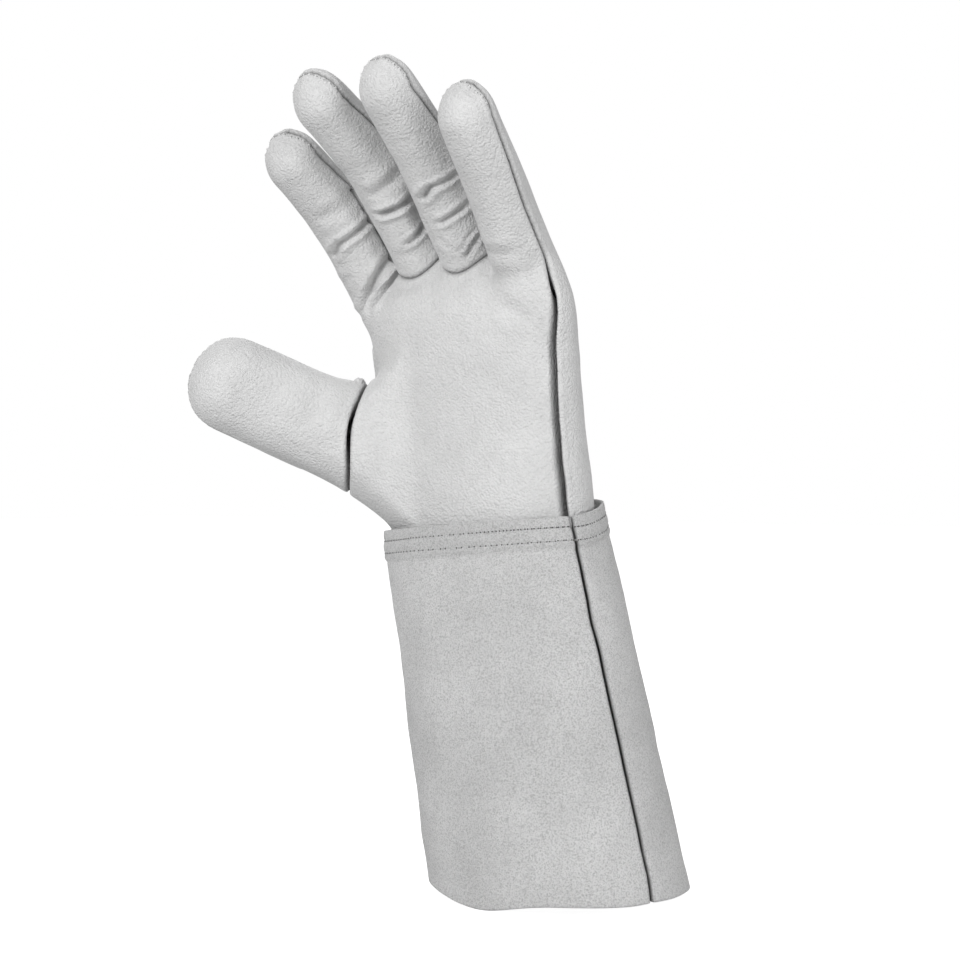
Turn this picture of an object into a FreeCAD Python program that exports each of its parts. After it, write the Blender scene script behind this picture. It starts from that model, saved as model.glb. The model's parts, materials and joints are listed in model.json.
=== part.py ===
"""A left-hand welding glove with a long gauntlet cuff, held open as if worn.

The hand is grain leather: a palm, a one-piece back, finger fronts and backs, side strips between the
fingers and a set-in thumb.  The cuff is thicker split leather, lapped over the wrist with two rows of
stitching.  The glove stands on its hem.

Frame, in millimetres: the origin is the centre of the hem, +Z runs up to the fingertips, the palm faces
-Y and the thumb is on the -X side.
"""
import FreeCAD
import Part

import math
import os

V = FreeCAD.Vector

# ---- driving dimensions -------------------------------------------------------------------------------
GRAIN_THICKNESS = 1.1        # hand leather
SPLIT_THICKNESS = 1.4        # cuff leather
SEAM_GAP = 0.4               # between two panels that are sewn edge to edge

CUFF_HEIGHT = 144.0          # hem to the middle of the top edge
CUFF_TOP_SLOPE = 0.08        # the top edge rises towards the little finger
CUFF_BACK_RISE = 8.0         # the middle of the back stands this much higher than the front
CUFF_LEAN = -31.5            # how far the cuff's centre moves along X from the hem to the top
CUFF_HALF_WIDTH = (53.8, 49.8)        # at the hem and at the top
CUFF_HALF_DEPTH = (42.0, 32.5)
CUFF_LITTLE_SEAM_Y = (-13.0, -14.0)
CUFF_THUMB_SEAM_Y = (6.0, 6.0)
CUFF_ROUNDNESS = 2.4

WRIST_EDGE_Z = 132.0         # lower edge of the hand, inside the cuff
# Hand cross-sections: height, centre x, centre y, half width, half depth.
HAND_SECTIONS = (
    (121.0, -27.5, 0.0, 45.0, 25.0),
    (141.0, -31.5, 0.0, 45.8, 25.2),
    (159.0, -35.5, -0.5, 49.2, 24.4),
    (183.0, -37.6, -1.5, 48.4, 22.5),
    (207.0, -37.9, -3.5, 48.1, 20.5),
    (217.0, -38.0, -4.5, 48.8, 19.5),
    (231.0, -41.5, -6.0, 52.1, 18.0),
    (253.0, -45.2, -7.5, 55.8, 16.5),
    (276.0, -47.4, -10.0, 53.6, 15.0),
)
HAND_ROUNDNESS = 2.4
HAND_LITTLE_SEAM_Y = ((121.0, -10.0), (281.0, -16.0))    # height and y
HAND_THUMB_SEAM_Y = ((121.0, 5.0), (281.0, -6.0))
HAND_COLUMNS = 41
HAND_ROWS = 22
KNUCKLE_STEP_WIDTH = 4.0     # half of the run between two finger base heights

# Fingers: base point, sideways lean, bend at the base and at the tip, length to the tip's centre.
FINGERS = {
    "index": {"base": (-88.2, -2.5, 243.0), "lean": -14.3, "bend": (24.0, 54.0), "length": 68.0},
    "middle": {"base": (-62.5, -4.5, 253.0), "lean": -9.8, "bend": (26.0, 60.0), "length": 84.0},
    "ring": {"base": (-36.5, -8.5, 254.0), "lean": -4.8, "bend": (30.0, 48.0), "length": 79.0},
    "little": {"base": (-9.5, -9.5, 249.0), "lean": 0.8, "bend": (36.0, 40.0), "length": 67.5},
}
# Half widths at the base and at the tip's centre.
FINGER_HALF_WIDTH = {"index": (13.0, 12.4), "middle": (12.5, 11.4), "ring": (12.5, 11.4), "little": (12.5, 11.4)}
FINGER_HALF_DEPTH = (14.0, 12.2)
FINGER_BASE_GAP = (8.5, 4.5)          # palm side and back side, room for the knuckle to bend
FINGER_ROUNDNESS = 2.2
STRIP_HALF_WIDTH = 4.5                # of the side strips between the fingers
STRIP_OFFSET = -5.0                   # the strips lie this far behind the fingers' centre lines
STRIP_END = 0.9                       # share of the finger's length where a strip runs out
OUTER_SEAM_OFFSET = {"index": -3.0, "little": 2.5, "thumb": -2.5}
TIP_SEAM_OFFSET = -5.0                # over the fingertip the seam lies behind the centre line
TIP_SEAM_HALF_LENGTH = 0.9            # of the flat run where the seam crosses the very tip

THUMB_BASE = (-88.0, -20.0, 179.0)
THUMB_HEADING = 50.0                  # degrees from -X towards the palm side
THUMB_RISE = 23.0
THUMB_BEND = (-4.0, 6.0)
THUMB_LENGTH = 59.0
THUMB_HALF_WIDTH = (20.8, 19.5)
THUMB_HALF_DEPTH = (17.0, 14.5)
THUMB_BASE_GAP = (6.0, 4.5)
THUMB_BASE_SLANT = (-5.0, 6.0)        # of the base edge, at its lower side and at its palm side
THUMB_HOLE_COLUMNS = (24, 36)         # the cells of the palm that open into the thumb
THUMB_HOLE_ROWS = (3, 14)
THUMB_ROOT_SWEEP = (9.0, 16.0)        # how far the root runs along the palm and along the thumb
SEAM_ROLL_RADIUS = 1.5                # the rolled end of the thumb seam, above the thumb's root
SEAM_ROLL_LENGTH = 5.0                # of its straight part
SEAM_ROLL_TURN = 10.0                 # degrees round the thumb over which its direction is taken

STITCH_RADIUS = 0.4
STITCH_SHARE = 0.62                   # of the pitch that is thread
TIP_STITCH_PITCH = 3.0
CUFF_ROWS = {"cuff_upper_stitching": (4.0, 2.8), "cuff_lower_stitching": (9.3, 4.0)}   # drop and pitch

DOME_ANGLES = (15, 30, 45, 58, 70, 80, 90)


# ---- small maths --------------------------------------------------------------------------------------
def unit(vector):
    return vector * (1.0 / vector.Length)


def mix(pair, share):
    return pair[0] + (pair[1] - pair[0]) * share


def smooth(share):
    share = min(max(share, 0.0), 1.0)
    return share * share * (3 - 2 * share)


def spread(first, last, count):
    return [first + (last - first) * i / (count - 1) for i in range(count)]


def oval_offset(angle, half_x, half_y, power):
    """The x and y of a rounded oval at an angle in degrees; a power of 2 is an ellipse."""
    c, s = math.cos(math.radians(angle)), math.sin(math.radians(angle))
    return (half_x * math.copysign(abs(c) ** (2 / power), c),
            half_y * math.copysign(abs(s) ** (2 / power), s))


def oval_angle(y, half_y, power):
    """The angle from the side of an oval at which its surface reaches the height y."""
    share = min(abs(y) / half_y, 1.0) ** (power / 2)
    return math.copysign(math.degrees(math.asin(share)), y)


def section_at(sections, z):
    """The values of a table of sections at a height, on a smooth curve through its rows."""
    rows = len(sections)
    i = max(k for k in range(rows - 1) if k == 0 or sections[k][0] <= z)
    before, low, high, after = (sections[min(max(k, 0), rows - 1)] for k in (i - 1, i, i + 1, i + 2))
    step = high[0] - low[0]
    t = (z - low[0]) / step
    values = []
    for a, b, c, d in list(zip(before, low, high, after))[1:]:
        start = (c - a) * step / (high[0] - before[0])
        end = (d - b) * step / (after[0] - low[0])
        values.append((2 * t ** 3 - 3 * t ** 2 + 1) * b + (t ** 3 - 2 * t ** 2 + t) * start
                      + (3 * t ** 2 - 2 * t ** 3) * c + (t ** 3 - t ** 2) * end)
    return values


# ---- sheets of leather --------------------------------------------------------------------------------
def clamped(count):
    """Knots and multiplicities of a cubic curve that starts and ends on its first and last pole."""
    knots = list(range(count - 2))
    return knots, [4] + [1] * (count - 4) + [4]


def skin(grid):
    """A smooth face shaped by a grid of poles."""
    u_knots, u_mults = clamped(len(grid))
    v_knots, v_mults = clamped(len(grid[0]))
    surface = Part.BSplineSurface()
    surface.buildFromPolesMultsKnots(grid, u_mults, v_mults, u_knots, v_knots, False, False, 3, 3)
    return surface.toShape()


def rim(row):
    knots, mults = clamped(len(row))
    curve = Part.BSplineCurve()
    curve.buildFromPolesMultsKnots(row, mults, knots, False, 3)
    return curve.toShape()


def key(point):
    return (round(point.x, 4), round(point.y, 4), round(point.z, 4))


def sides(grid):
    return [grid[0], grid[-1], [row[0] for row in grid], [row[-1] for row in grid]]


def side_key(row):
    middles = (row[(len(row) - 1) // 2], row[len(row) // 2])
    return frozenset(key(point) for point in (row[0], row[-1], *middles))


def edge_face(outer, inner):
    """The narrow face between two rims: a plane if both are level, else ruled."""
    heights = [point.z for point in outer + inner]
    if max(heights) - min(heights) > 0.001:
        return Part.makeRuledSurface(rim(outer), rim(inner))
    ends = [Part.makeLine(outer[i], inner[i]) for i in (0, -1)]
    return Part.Face(Part.Wire(Part.__sortEdges__([rim(outer), ends[0], rim(inner), ends[1]])))


def sheet(grids, thickness, level=None):
    """One closed solid: grids of poles on the outer face, thickened inwards.

    Grids that share a side are joined along it.  Seen from outside, rows and columns of every grid
    turn the same way.  A rim at the height `level` comes out flat.
    """
    normals = {}
    for grid in grids:
        for i in range(len(grid) - 1):
            for j in range(len(grid[0]) - 1):
                corners = [grid[i][j], grid[i + 1][j], grid[i + 1][j + 1], grid[i][j + 1]]
                across = (corners[2] - corners[0]).cross(corners[3] - corners[1])
                for corner in corners:
                    normals[key(corner)] = normals.get(key(corner), V(0, 0, 0)) + across

    def inwards(row):
        return [point - unit(turned(point)) * thickness for point in row]

    def turned(point):
        """The outward normal, kept level on a level rim."""
        normal = normals[key(point)]
        on_rim = level is not None and abs(point.z - level) < 0.001
        return V(normal.x, normal.y, 0) if on_rim else normal

    shared = {}
    for grid in grids:
        for side in sides(grid):
            shared.setdefault(side_key(side), []).append(side)
    faces = []
    for grid in grids:
        faces.append(skin(grid))
        faces.append(skin([inwards(row) for row in grid]))
    for uses in shared.values():
        if len(uses) == 1:
            faces.append(edge_face(uses[0], inwards(uses[0])))
    shell = Part.makeShell(faces)
    shell.sewShape()
    solid = Part.makeSolid(Part.Shell(shell.Faces))
    return solid if solid.Volume > 0 else solid.reversed()


# ---- fingers and thumb --------------------------------------------------------------------------------
class Stall:
    """A bent finger or thumb tube with a rounded tip.

    Distances along the spine run from the base at 0 to the tip's centre at `length`.  Angles around it
    run from the side vector at 0 through the palm side at 90.
    """

    def __init__(self, base, up, front, bend, length, half_x, half_y, gap, slant=(0.0, 0.0)):
        self.base = V(*base)
        self.up = unit(up)
        self.front = unit(front)
        self.side = unit(self.front.cross(self.up))
        self.bend = [math.radians(b) for b in bend]
        self.length = length
        self.half_x = half_x
        self.half_y = half_y
        self.gap = gap
        self.slant = slant

    def tangent(self, s):
        share = min(max(s / self.length, 0.0), 1.0)
        angle = mix(self.bend, share)
        return self.up * math.cos(angle) + self.front * math.sin(angle)

    def normal(self, s):
        """Across the spine, towards the palm side."""
        return self.tangent(s).cross(self.side)

    def centre(self, s, steps=20):
        total = V(0, 0, 0)
        for i in range(steps):
            total += self.tangent((i + 0.5) * s / steps) * (s / steps)
        return self.base + total

    def on_shaft(self, s, angle):
        share = min(max(s / self.length, 0.0), 1.0)
        x, y = oval_offset(angle, mix(self.half_x, share), mix(self.half_y, share), FINGER_ROUNDNESS)
        return self.centre(s) + self.side * x + self.normal(s) * y

    def on_dome(self, dome, angle):
        """A point on the rounded tip; the dome angle is 0 on the shaft and 90 at the very tip."""
        rise, reach = math.sin(math.radians(dome)), math.cos(math.radians(dome))
        power = mix((FINGER_ROUNDNESS, 2.0), rise)
        x, y = oval_offset(angle, self.half_x[1] * reach, self.half_y[1] * reach, power)
        y += TIP_SEAM_OFFSET * (1 - reach)
        return (self.centre(self.length) + self.side * x + self.normal(self.length) * y
                + self.tangent(self.length) * (self.half_y[1] * rise))

    def base_edge(self, angle):
        """Distance of the hand's edge at an angle; the base plane may be slanted."""
        return (self.slant[0] * math.cos(math.radians(angle)) + self.slant[1] * math.sin(math.radians(angle)))

    def start(self, angle):
        """Where the finger's own leather begins at an angle."""
        palm_share = (math.sin(math.radians(angle)) + 1) / 2
        return self.base_edge(angle) + mix((self.gap[1], self.gap[0]), palm_share)

    def seam_offset(self, offset, s):
        return offset * (1 - smooth((s / self.length - 0.3) / 0.7))

    def strip_half_width(self, s):
        share = s / (self.length * STRIP_END)
        return mix((STRIP_HALF_WIDTH, 0.5), smooth((share - 0.45) / 0.55))

    def edge_angle(self, s, offset, strip, facing):
        """The angle from the side at which the palm-side (+1) or back (-1) panel ends."""
        share = min(max(s / self.length, 0.0), 1.0)
        y = self.seam_offset(offset, s) + facing * SEAM_GAP / 2
        if strip:
            y += facing * self.strip_half_width(s)
        return oval_angle(y, mix(self.half_y, share), FINGER_ROUNDNESS)

    def panel(self, facing, seams, columns=13, rows=11):
        """The palm-side (+1) or back (-1) panel; seams hold the offset and strip of both sides."""
        (offset_a, strip_a), (offset_b, strip_b) = seams
        grid = []
        for v in spread(0.0, 1.0, rows):
            s = v * self.length
            first = self.edge_angle(s, offset_a, strip_a, facing)
            last = 180 - self.edge_angle(s, offset_b, strip_b, facing)
            if facing < 0:
                last -= 360
            row = []
            for angle in spread(first, last, columns):
                start = self.start(angle)
                row.append(self.on_shaft(start + (self.length - start) * v, angle))
            grid.append(row)
        for dome in DOME_ANGLES[:-1]:
            radius = self.half_x[1] * math.cos(math.radians(dome))
            first = facing * math.degrees(SEAM_GAP / 2 / radius)
            grid.append([self.on_dome(dome, angle) for angle in spread(first, facing * 180 - first, columns)])
        tip = self.on_dome(90, 0) + self.normal(self.length) * (facing * SEAM_GAP / 2)
        grid.append([tip + self.side * x for x in spread(TIP_SEAM_HALF_LENGTH, -TIP_SEAM_HALF_LENGTH, columns)])
        return sheet([grid if facing < 0 else grid[::-1]], GRAIN_THICKNESS)

    def strip(self, sign, columns=5, rows=11):
        """The side strip on the side vector's side (+1) or the other (-1)."""
        grid = []
        for v in spread(0.0, 1.0, rows):
            s = v * self.length * STRIP_END
            share = s / self.length
            middle = self.seam_offset(STRIP_OFFSET, s)
            reach = self.strip_half_width(s) - SEAM_GAP / 2
            edges = [oval_angle(middle + side * reach, mix(self.half_y, share), FINGER_ROUNDNESS)
                     for side in (-1, 1)]
            row = []
            for angle in spread(*edges, columns):
                turned = angle if sign > 0 else 180 - angle
                start = self.start(turned)
                row.append(self.on_shaft(start + (self.length * STRIP_END - start) * v, turned))
            grid.append(row)
        return sheet([grid if sign < 0 else grid[::-1]], GRAIN_THICKNESS)

    def tip_stitches(self):
        """Separate stitches over the tip, along the seam."""
        arc = math.pi * (self.half_x[1] + self.half_y[1]) / 2 * 0.9
        count = round(arc / TIP_STITCH_PITCH)

        def on_seam(share):
            angle = 9 + 162 * share
            dome = angle if angle < 90 else 180 - angle
            point = self.on_dome(dome, 0 if angle < 90 else 180)
            outwards = unit(point - self.centre(self.length))
            return point + outwards * (STITCH_RADIUS + 0.05)

        return stitches([(on_seam(i / count), on_seam((i + STITCH_SHARE) / count)) for i in range(count)])


def finger(name):
    size = FINGERS[name]
    lean = math.radians(size["lean"])
    return Stall(size["base"], V(math.sin(lean), 0, math.cos(lean)), V(0, -1, 0), size["bend"],
                 size["length"], FINGER_HALF_WIDTH[name], FINGER_HALF_DEPTH, FINGER_BASE_GAP)


def thumb():
    heading, rise = math.radians(THUMB_HEADING), math.radians(THUMB_RISE)
    along = V(-math.cos(heading) * math.cos(rise), -math.sin(heading) * math.cos(rise), math.sin(rise))
    palm_side = V(math.sin(heading), -math.cos(heading), 0)
    return Stall(THUMB_BASE, along, palm_side, THUMB_BEND, THUMB_LENGTH, THUMB_HALF_WIDTH,
                 THUMB_HALF_DEPTH, THUMB_BASE_GAP, THUMB_BASE_SLANT)


# ---- hand ---------------------------------------------------------------------------------------------
def knuckle_z(x, y):
    """Height of the hand's upper edge: the finger base planes, run into each other between fingers."""
    stalls = [finger(name) for name in FINGERS]
    heights = []
    for stall in stalls:
        t = stall.tangent(0)
        heights.append(stall.base.z - ((x - stall.base.x) * t.x + (y - stall.base.y) * t.y) / t.z)
    height = heights[0]
    for left, right, candidate in zip(stalls, stalls[1:], heights[1:]):
        middle = (left.base.x + right.base.x) / 2
        share = smooth((x - middle + KNUCKLE_STEP_WIDTH) / (2 * KNUCKLE_STEP_WIDTH))
        height = mix((height, candidate), share)
    return height


def on_hand(z, angle):
    x, y, half_x, half_y = section_at(HAND_SECTIONS, z)
    dx, dy = oval_offset(angle, half_x, half_y, HAND_ROUNDNESS)
    return V(x + dx, y + dy, z)


def hand_angles(z, facing):
    """First and last angle of the palm (-1) or the back (+1) at a height."""
    _, y, _, half_y = section_at(HAND_SECTIONS, z)
    ends = []
    for (low, low_y), (high, high_y) in (HAND_LITTLE_SEAM_Y, HAND_THUMB_SEAM_Y):
        seam_y = mix((low_y, high_y), (z - low) / (high - low)) + facing * SEAM_GAP / 2
        ends.append(oval_angle(seam_y - y, half_y, HAND_ROUNDNESS))
    return ends[0], 180 - ends[1] - (360 if facing < 0 else 0)


def hand_point(facing, u, v):
    """A point of the palm (-1) or the back (+1); u runs from the little finger, v up from the wrist."""
    z = mix((WRIST_EDGE_Z, 241.0), v)
    for _ in range(4):
        point = on_hand(z, mix(hand_angles(z, facing), u))
        z = mix((WRIST_EDGE_Z, knuckle_z(point.x, point.y)), v)
    return on_hand(z, mix(hand_angles(z, facing), u))


def hand_grid(facing):
    return [[hand_point(facing, u, v) for u in spread(0.0, 1.0, HAND_COLUMNS)]
            for v in spread(0.0, 1.0, HAND_ROWS)]


def thumb_root(grid):
    """Four patches that run from the sides of the thumb's hole in the palm to the thumb's base ring."""
    low, high = THUMB_HOLE_ROWS
    near, far = THUMB_HOLE_COLUMNS
    stall = thumb()
    middle = grid[(low + high) // 2][(near + far) // 2]
    up_side = [(row, near) for row in range(low, high + 1)]
    top = [(high, column) for column in range(near, far + 1)]
    down_side = [(row, far) for row in range(high, low - 1, -1)]
    bottom = [(low, column) for column in range(far, near - 1, -1)]
    corner = 45.0
    for cells, first_angle in ((up_side, corner), (top, corner + 90), (down_side, corner + 180),
                               (bottom, corner + 270)):
        angles = spread(first_angle, first_angle + 90, len(cells))
        patch = []
        for (row, column), angle in zip(cells, angles):
            start, end = grid[row][column], stall.on_shaft(stall.base_edge(angle), angle)
            along = grid[row][column + 1] - grid[row][column - 1]
            across = grid[row + 1][column] - grid[row - 1][column]
            outwards = unit(across.cross(along))
            sweep = middle - start
            sweep = unit(sweep - outwards * sweep.dot(outwards)) * THUMB_ROOT_SWEEP[0]
            leave = stall.tangent(0) * THUMB_ROOT_SWEEP[1]
            line = []
            for t in spread(0.0, 1.0, 7):
                line.append(start * (2 * t ** 3 - 3 * t ** 2 + 1) + sweep * (t ** 3 - 2 * t ** 2 + t)
                            + end * (3 * t ** 2 - 2 * t ** 3) + leave * (t ** 3 - t ** 2))
            patch.append(line)
        yield patch


def part_of(grid, rows, columns):
    return [row[columns[0]:columns[1] + 1] for row in grid[rows[0]:rows[1] + 1]]


def palm():
    grid = hand_grid(-1)
    row_cuts = (0, *THUMB_HOLE_ROWS, HAND_ROWS - 1)
    column_cuts = (0, *THUMB_HOLE_COLUMNS, HAND_COLUMNS - 1)
    patches = []
    for rows in zip(row_cuts, row_cuts[1:]):
        for columns in zip(column_cuts, column_cuts[1:]):
            if (rows, columns) != (THUMB_HOLE_ROWS, THUMB_HOLE_COLUMNS):
                patches.append(part_of(grid, rows, columns))
    patches += thumb_root(grid)
    return sheet(patches, GRAIN_THICKNESS)


def hand_back():
    return sheet([hand_grid(1)[::-1]], GRAIN_THICKNESS)


# ---- cuff ---------------------------------------------------------------------------------------------
def cuff_top_z(point):
    """Height of the top edge above a point of the cuff: it slopes sideways and is higher at the back."""
    seam_y = CUFF_LITTLE_SEAM_Y[1]
    back_share = (point.y - seam_y) / (CUFF_HALF_DEPTH[1] - seam_y)
    return CUFF_HEIGHT + CUFF_TOP_SLOPE * (point.x - CUFF_LEAN) + CUFF_BACK_RISE * smooth(back_share)


def on_cuff(z, angle, proud=0.0):
    share = z / CUFF_HEIGHT
    dx, dy = oval_offset(angle, mix(CUFF_HALF_WIDTH, share) + proud, mix(CUFF_HALF_DEPTH, share) + proud,
                         CUFF_ROUNDNESS)
    return V(CUFF_LEAN * share + dx, dy, z)


def cuff_angles(z, facing):
    share = z / CUFF_HEIGHT
    half_y = mix(CUFF_HALF_DEPTH, share)
    gap = facing * SEAM_GAP / 2
    first = oval_angle(mix(CUFF_LITTLE_SEAM_Y, share) + gap, half_y, CUFF_ROUNDNESS)
    last = 180 - oval_angle(mix(CUFF_THUMB_SEAM_Y, share) + gap, half_y, CUFF_ROUNDNESS)
    return first, last - (360 if facing < 0 else 0)


def cuff_panel(facing, columns=21, rows=9):
    """The front (-1) or back (+1) of the cuff, from the level hem to the sloping top edge."""
    grid = []
    for v in spread(0.0, 1.0, rows):
        row = []
        for u in spread(0.0, 1.0, columns):
            z = CUFF_HEIGHT * v
            for _ in range(3):
                z = v * cuff_top_z(on_cuff(z, mix(cuff_angles(z, facing), u)))
            row.append(on_cuff(z, mix(cuff_angles(z, facing), u)))
        grid.append(row)
    return sheet([grid if facing < 0 else grid[::-1]], SPLIT_THICKNESS, level=0.0)


def cuff_row(drop, pitch):
    """Separate stitches round the cuff, a set distance below its top edge."""
    half_x, half_y = CUFF_HALF_WIDTH[1], CUFF_HALF_DEPTH[1]
    count = round(math.pi * (half_x + half_y) / pitch)

    def on_row(share):
        z = CUFF_HEIGHT - drop
        for _ in range(3):
            z = cuff_top_z(on_cuff(z, 360 * share)) - drop
        return on_cuff(z, 360 * share, STITCH_RADIUS + 0.05)

    return stitches([(on_row(i / count), on_row((i + STITCH_SHARE) / count)) for i in range(count)])


def stitches(ends):
    return Part.makeCompound([Part.makeCylinder(STITCH_RADIUS, (b - a).Length, a, b - a) for a, b in ends])


def thumb_seam_roll():
    """A short rounded roll of leather in the gap at the top of the thumb's base."""
    stall = thumb()

    def in_gap(angle):
        return stall.on_shaft((stall.base_edge(angle) + stall.start(angle)) / 2, angle)

    middle = in_gap(180)
    axis = unit(in_gap(180 + SEAM_ROLL_TURN) - in_gap(180 - SEAM_ROLL_TURN))
    ends = [middle - axis * (SEAM_ROLL_LENGTH / 2), middle + axis * (SEAM_ROLL_LENGTH / 2)]
    roll = Part.makeCylinder(SEAM_ROLL_RADIUS, SEAM_ROLL_LENGTH, ends[0], axis)
    for end in ends:
        roll = roll.fuse(Part.makeSphere(SEAM_ROLL_RADIUS, end))
    return roll.removeSplitter()


# ---- the glove ----------------------------------------------------------------------------------------
def finger_pieces(name):
    """Front, back, side strips and tip stitching; the side vector points to the thumb side."""
    stall = finger(name)
    thumb_side = (OUTER_SEAM_OFFSET["index"], False) if name == "index" else (STRIP_OFFSET, True)
    little_side = (OUTER_SEAM_OFFSET["little"], False) if name == "little" else (STRIP_OFFSET, True)
    pieces = {
        "front": stall.panel(1, (thumb_side, little_side)),
        "back": stall.panel(-1, (thumb_side, little_side)),
        "tip_stitching": stall.tip_stitches(),
    }
    if thumb_side[1]:
        pieces["thumb_side_strip"] = stall.strip(1)
    if little_side[1]:
        pieces["little_side_strip"] = stall.strip(-1)
    return {f"{name}_{piece}": shape for piece, shape in pieces.items()}


def thumb_pieces():
    stall = thumb()
    seam = (OUTER_SEAM_OFFSET["thumb"], False)
    return {
        "thumb_front": stall.panel(1, (seam, seam)),
        "thumb_back": stall.panel(-1, (seam, seam)),
        "thumb_tip_stitching": stall.tip_stitches(),
        "thumb_seam_roll": thumb_seam_roll(),
    }


def build():
    pieces = {
        "palm": palm(),
        "hand_back": hand_back(),
        "cuff_front": cuff_panel(-1),
        "cuff_back": cuff_panel(1),
    }
    for name, (drop, pitch) in CUFF_ROWS.items():
        pieces[name] = cuff_row(drop, pitch)
    for name in FINGERS:
        pieces.update(finger_pieces(name))
    pieces.update(thumb_pieces())
    return pieces


def main():
    os.makedirs("parts", exist_ok=True)
    for old in os.listdir("parts"):
        os.remove(os.path.join("parts", old))
    for name, shape in build().items():
        shape.exportStep(f"parts/{name}.step")
        closed = all(shell.isClosed() for shell in shape.Shells)
        print(name, len(shape.Solids), shape.isValid(), closed, round(shape.Volume))


main()
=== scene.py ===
"""Looks of a left-hand leather welding glove, built over its CAD frame.

The hand's leather is one cage of quads.  Its points are measured on the CAD solids with rays, so every
size comes from the frame.  The cage is smoothed, creased along its seams and folds, then cut into one
piece per panel.
"""
import json
import math
from collections import namedtuple

import bmesh
import bpy
import numpy as np
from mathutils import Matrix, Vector, noise
from mathutils.bvhtree import BVHTree
from mathutils.kdtree import KDTree


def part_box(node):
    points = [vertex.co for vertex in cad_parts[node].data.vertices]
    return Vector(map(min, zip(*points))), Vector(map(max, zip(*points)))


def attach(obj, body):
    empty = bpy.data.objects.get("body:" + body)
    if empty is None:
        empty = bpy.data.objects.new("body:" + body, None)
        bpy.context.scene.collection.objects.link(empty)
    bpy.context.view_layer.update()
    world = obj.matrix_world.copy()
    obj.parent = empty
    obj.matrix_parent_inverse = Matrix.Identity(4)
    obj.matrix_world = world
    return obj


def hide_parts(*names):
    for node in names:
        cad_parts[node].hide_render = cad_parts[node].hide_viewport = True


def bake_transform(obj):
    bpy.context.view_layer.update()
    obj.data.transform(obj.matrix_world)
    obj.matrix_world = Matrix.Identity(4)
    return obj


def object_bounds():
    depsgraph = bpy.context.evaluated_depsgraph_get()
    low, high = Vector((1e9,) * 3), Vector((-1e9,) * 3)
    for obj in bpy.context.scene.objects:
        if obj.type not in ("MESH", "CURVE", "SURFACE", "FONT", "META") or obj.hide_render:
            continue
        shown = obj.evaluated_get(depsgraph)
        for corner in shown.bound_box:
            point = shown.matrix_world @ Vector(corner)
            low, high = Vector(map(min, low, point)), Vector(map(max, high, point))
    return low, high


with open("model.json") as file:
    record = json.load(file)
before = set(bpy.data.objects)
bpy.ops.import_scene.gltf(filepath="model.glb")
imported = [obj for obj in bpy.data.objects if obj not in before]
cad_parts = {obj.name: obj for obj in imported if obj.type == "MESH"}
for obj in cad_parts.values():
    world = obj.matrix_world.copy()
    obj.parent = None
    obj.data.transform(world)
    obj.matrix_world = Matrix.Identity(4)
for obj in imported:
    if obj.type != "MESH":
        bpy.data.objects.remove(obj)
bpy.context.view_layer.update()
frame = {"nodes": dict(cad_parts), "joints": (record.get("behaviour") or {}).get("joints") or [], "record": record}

MM = 0.001
UP = Vector((0, 0, 1))

FINGER_NAMES = ("little", "ring", "middle", "index")      # in the order of the cage's columns
JOINTS = {joint["child"]: joint for joint in frame["joints"]}
NODES = frame["nodes"]
MEMBERS = frame["record"]["behaviour"]["bodies"]

# ---- the cage's layout ----------------------------------------------------------------------------------
HAND_COLUMNS = 36
LITTLE_SEAM, THUMB_SEAM = 0, 18    # columns of the side seams
HAND_ROWS = 16
HAND_SAMPLES = 48                  # rays over each side of a section of the hand
CLEAR_ABOVE_EDGE = 8 * MM          # the hand is measured from here above its lower edge
CLEAR_BELOW_FINGERS = 15 * MM      # to here below the fingers
FINGER_COLUMNS = 4                 # quads across the front of a finger
MOST_STEPS = 60                    # when a stall's middle is followed
USUAL_RADIUS = 12 * MM             # of a stall, where no ray meets it
FIRST_RING = 9 * MM                # along a finger, its lowest ring of its own
STALL_STEP = 4.5 * MM              # between rings
STRIP_PROBE = 14 * MM              # along a stall, where its seams are first measured
STRIP_TAPER = 14 * MM              # a side strip narrows over this length towards the tip
STRIP_END_ANGLE = 4.0              # half its width there, in degrees about the finger
PLAIN_HALF = 18                    # half the angle between the columns beside a side without a strip
DOME_RINGS = (22, 44, 66)          # degrees up the rounded tip of a finger
CROTCH = 3 * MM                    # along the fingers, where two of them part
BASE_SAG = 5.5 * MM                # how far below that the palm-side base seam hangs
THUMB_HOLE_ROWS = (1, 12)          # of the hand, left out where the thumb's root begins
THUMB_HOLE_COLUMNS = (11, 16)
ROOT_STEPS = (0.3, 0.62)           # shares of the way from that hole to the thumb's base edge
ROOT_SWEEP = 9 * MM                # how strongly the root heads for the hole's middle at its start
ROOT_LEAVE = 16 * MM               # and how strongly it heads along the thumb at its end
THUMB_FIRST_RING = 6 * MM          # beyond the thumb's base edge
THUMB_COUNT_START = 8 * MM         # along the thumb, from where its rings are counted
THUMB_SEAM_PROBE = 25 * MM         # along the thumb, where its seams get their columns
THUMB_DOME_RINGS = (20, 38, 54, 68)
CUFF_COLUMNS = 18                  # quads across each panel of the cuff
CUFF_ROWS = 18
CUFF_CLEAR = (4 * MM, 20 * MM)     # from its lower and upper edge, where the cuff's middle is measured
TOP_SLANT = 12 * MM                # between the highest and the lowest place of the cuff's top edge
HEM_CLEAR = 0.3 * MM               # of the cuff's lowest row from its hem
TOP_CLEAR = 0.1 * MM               # and of its highest row from the top edge
TOP_SEARCH = (100 * MM, 15 * MM)   # above the cuff's box's two ends, between which its top edge is sought
SMOOTHING = 3                      # levels of subdivision

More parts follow.
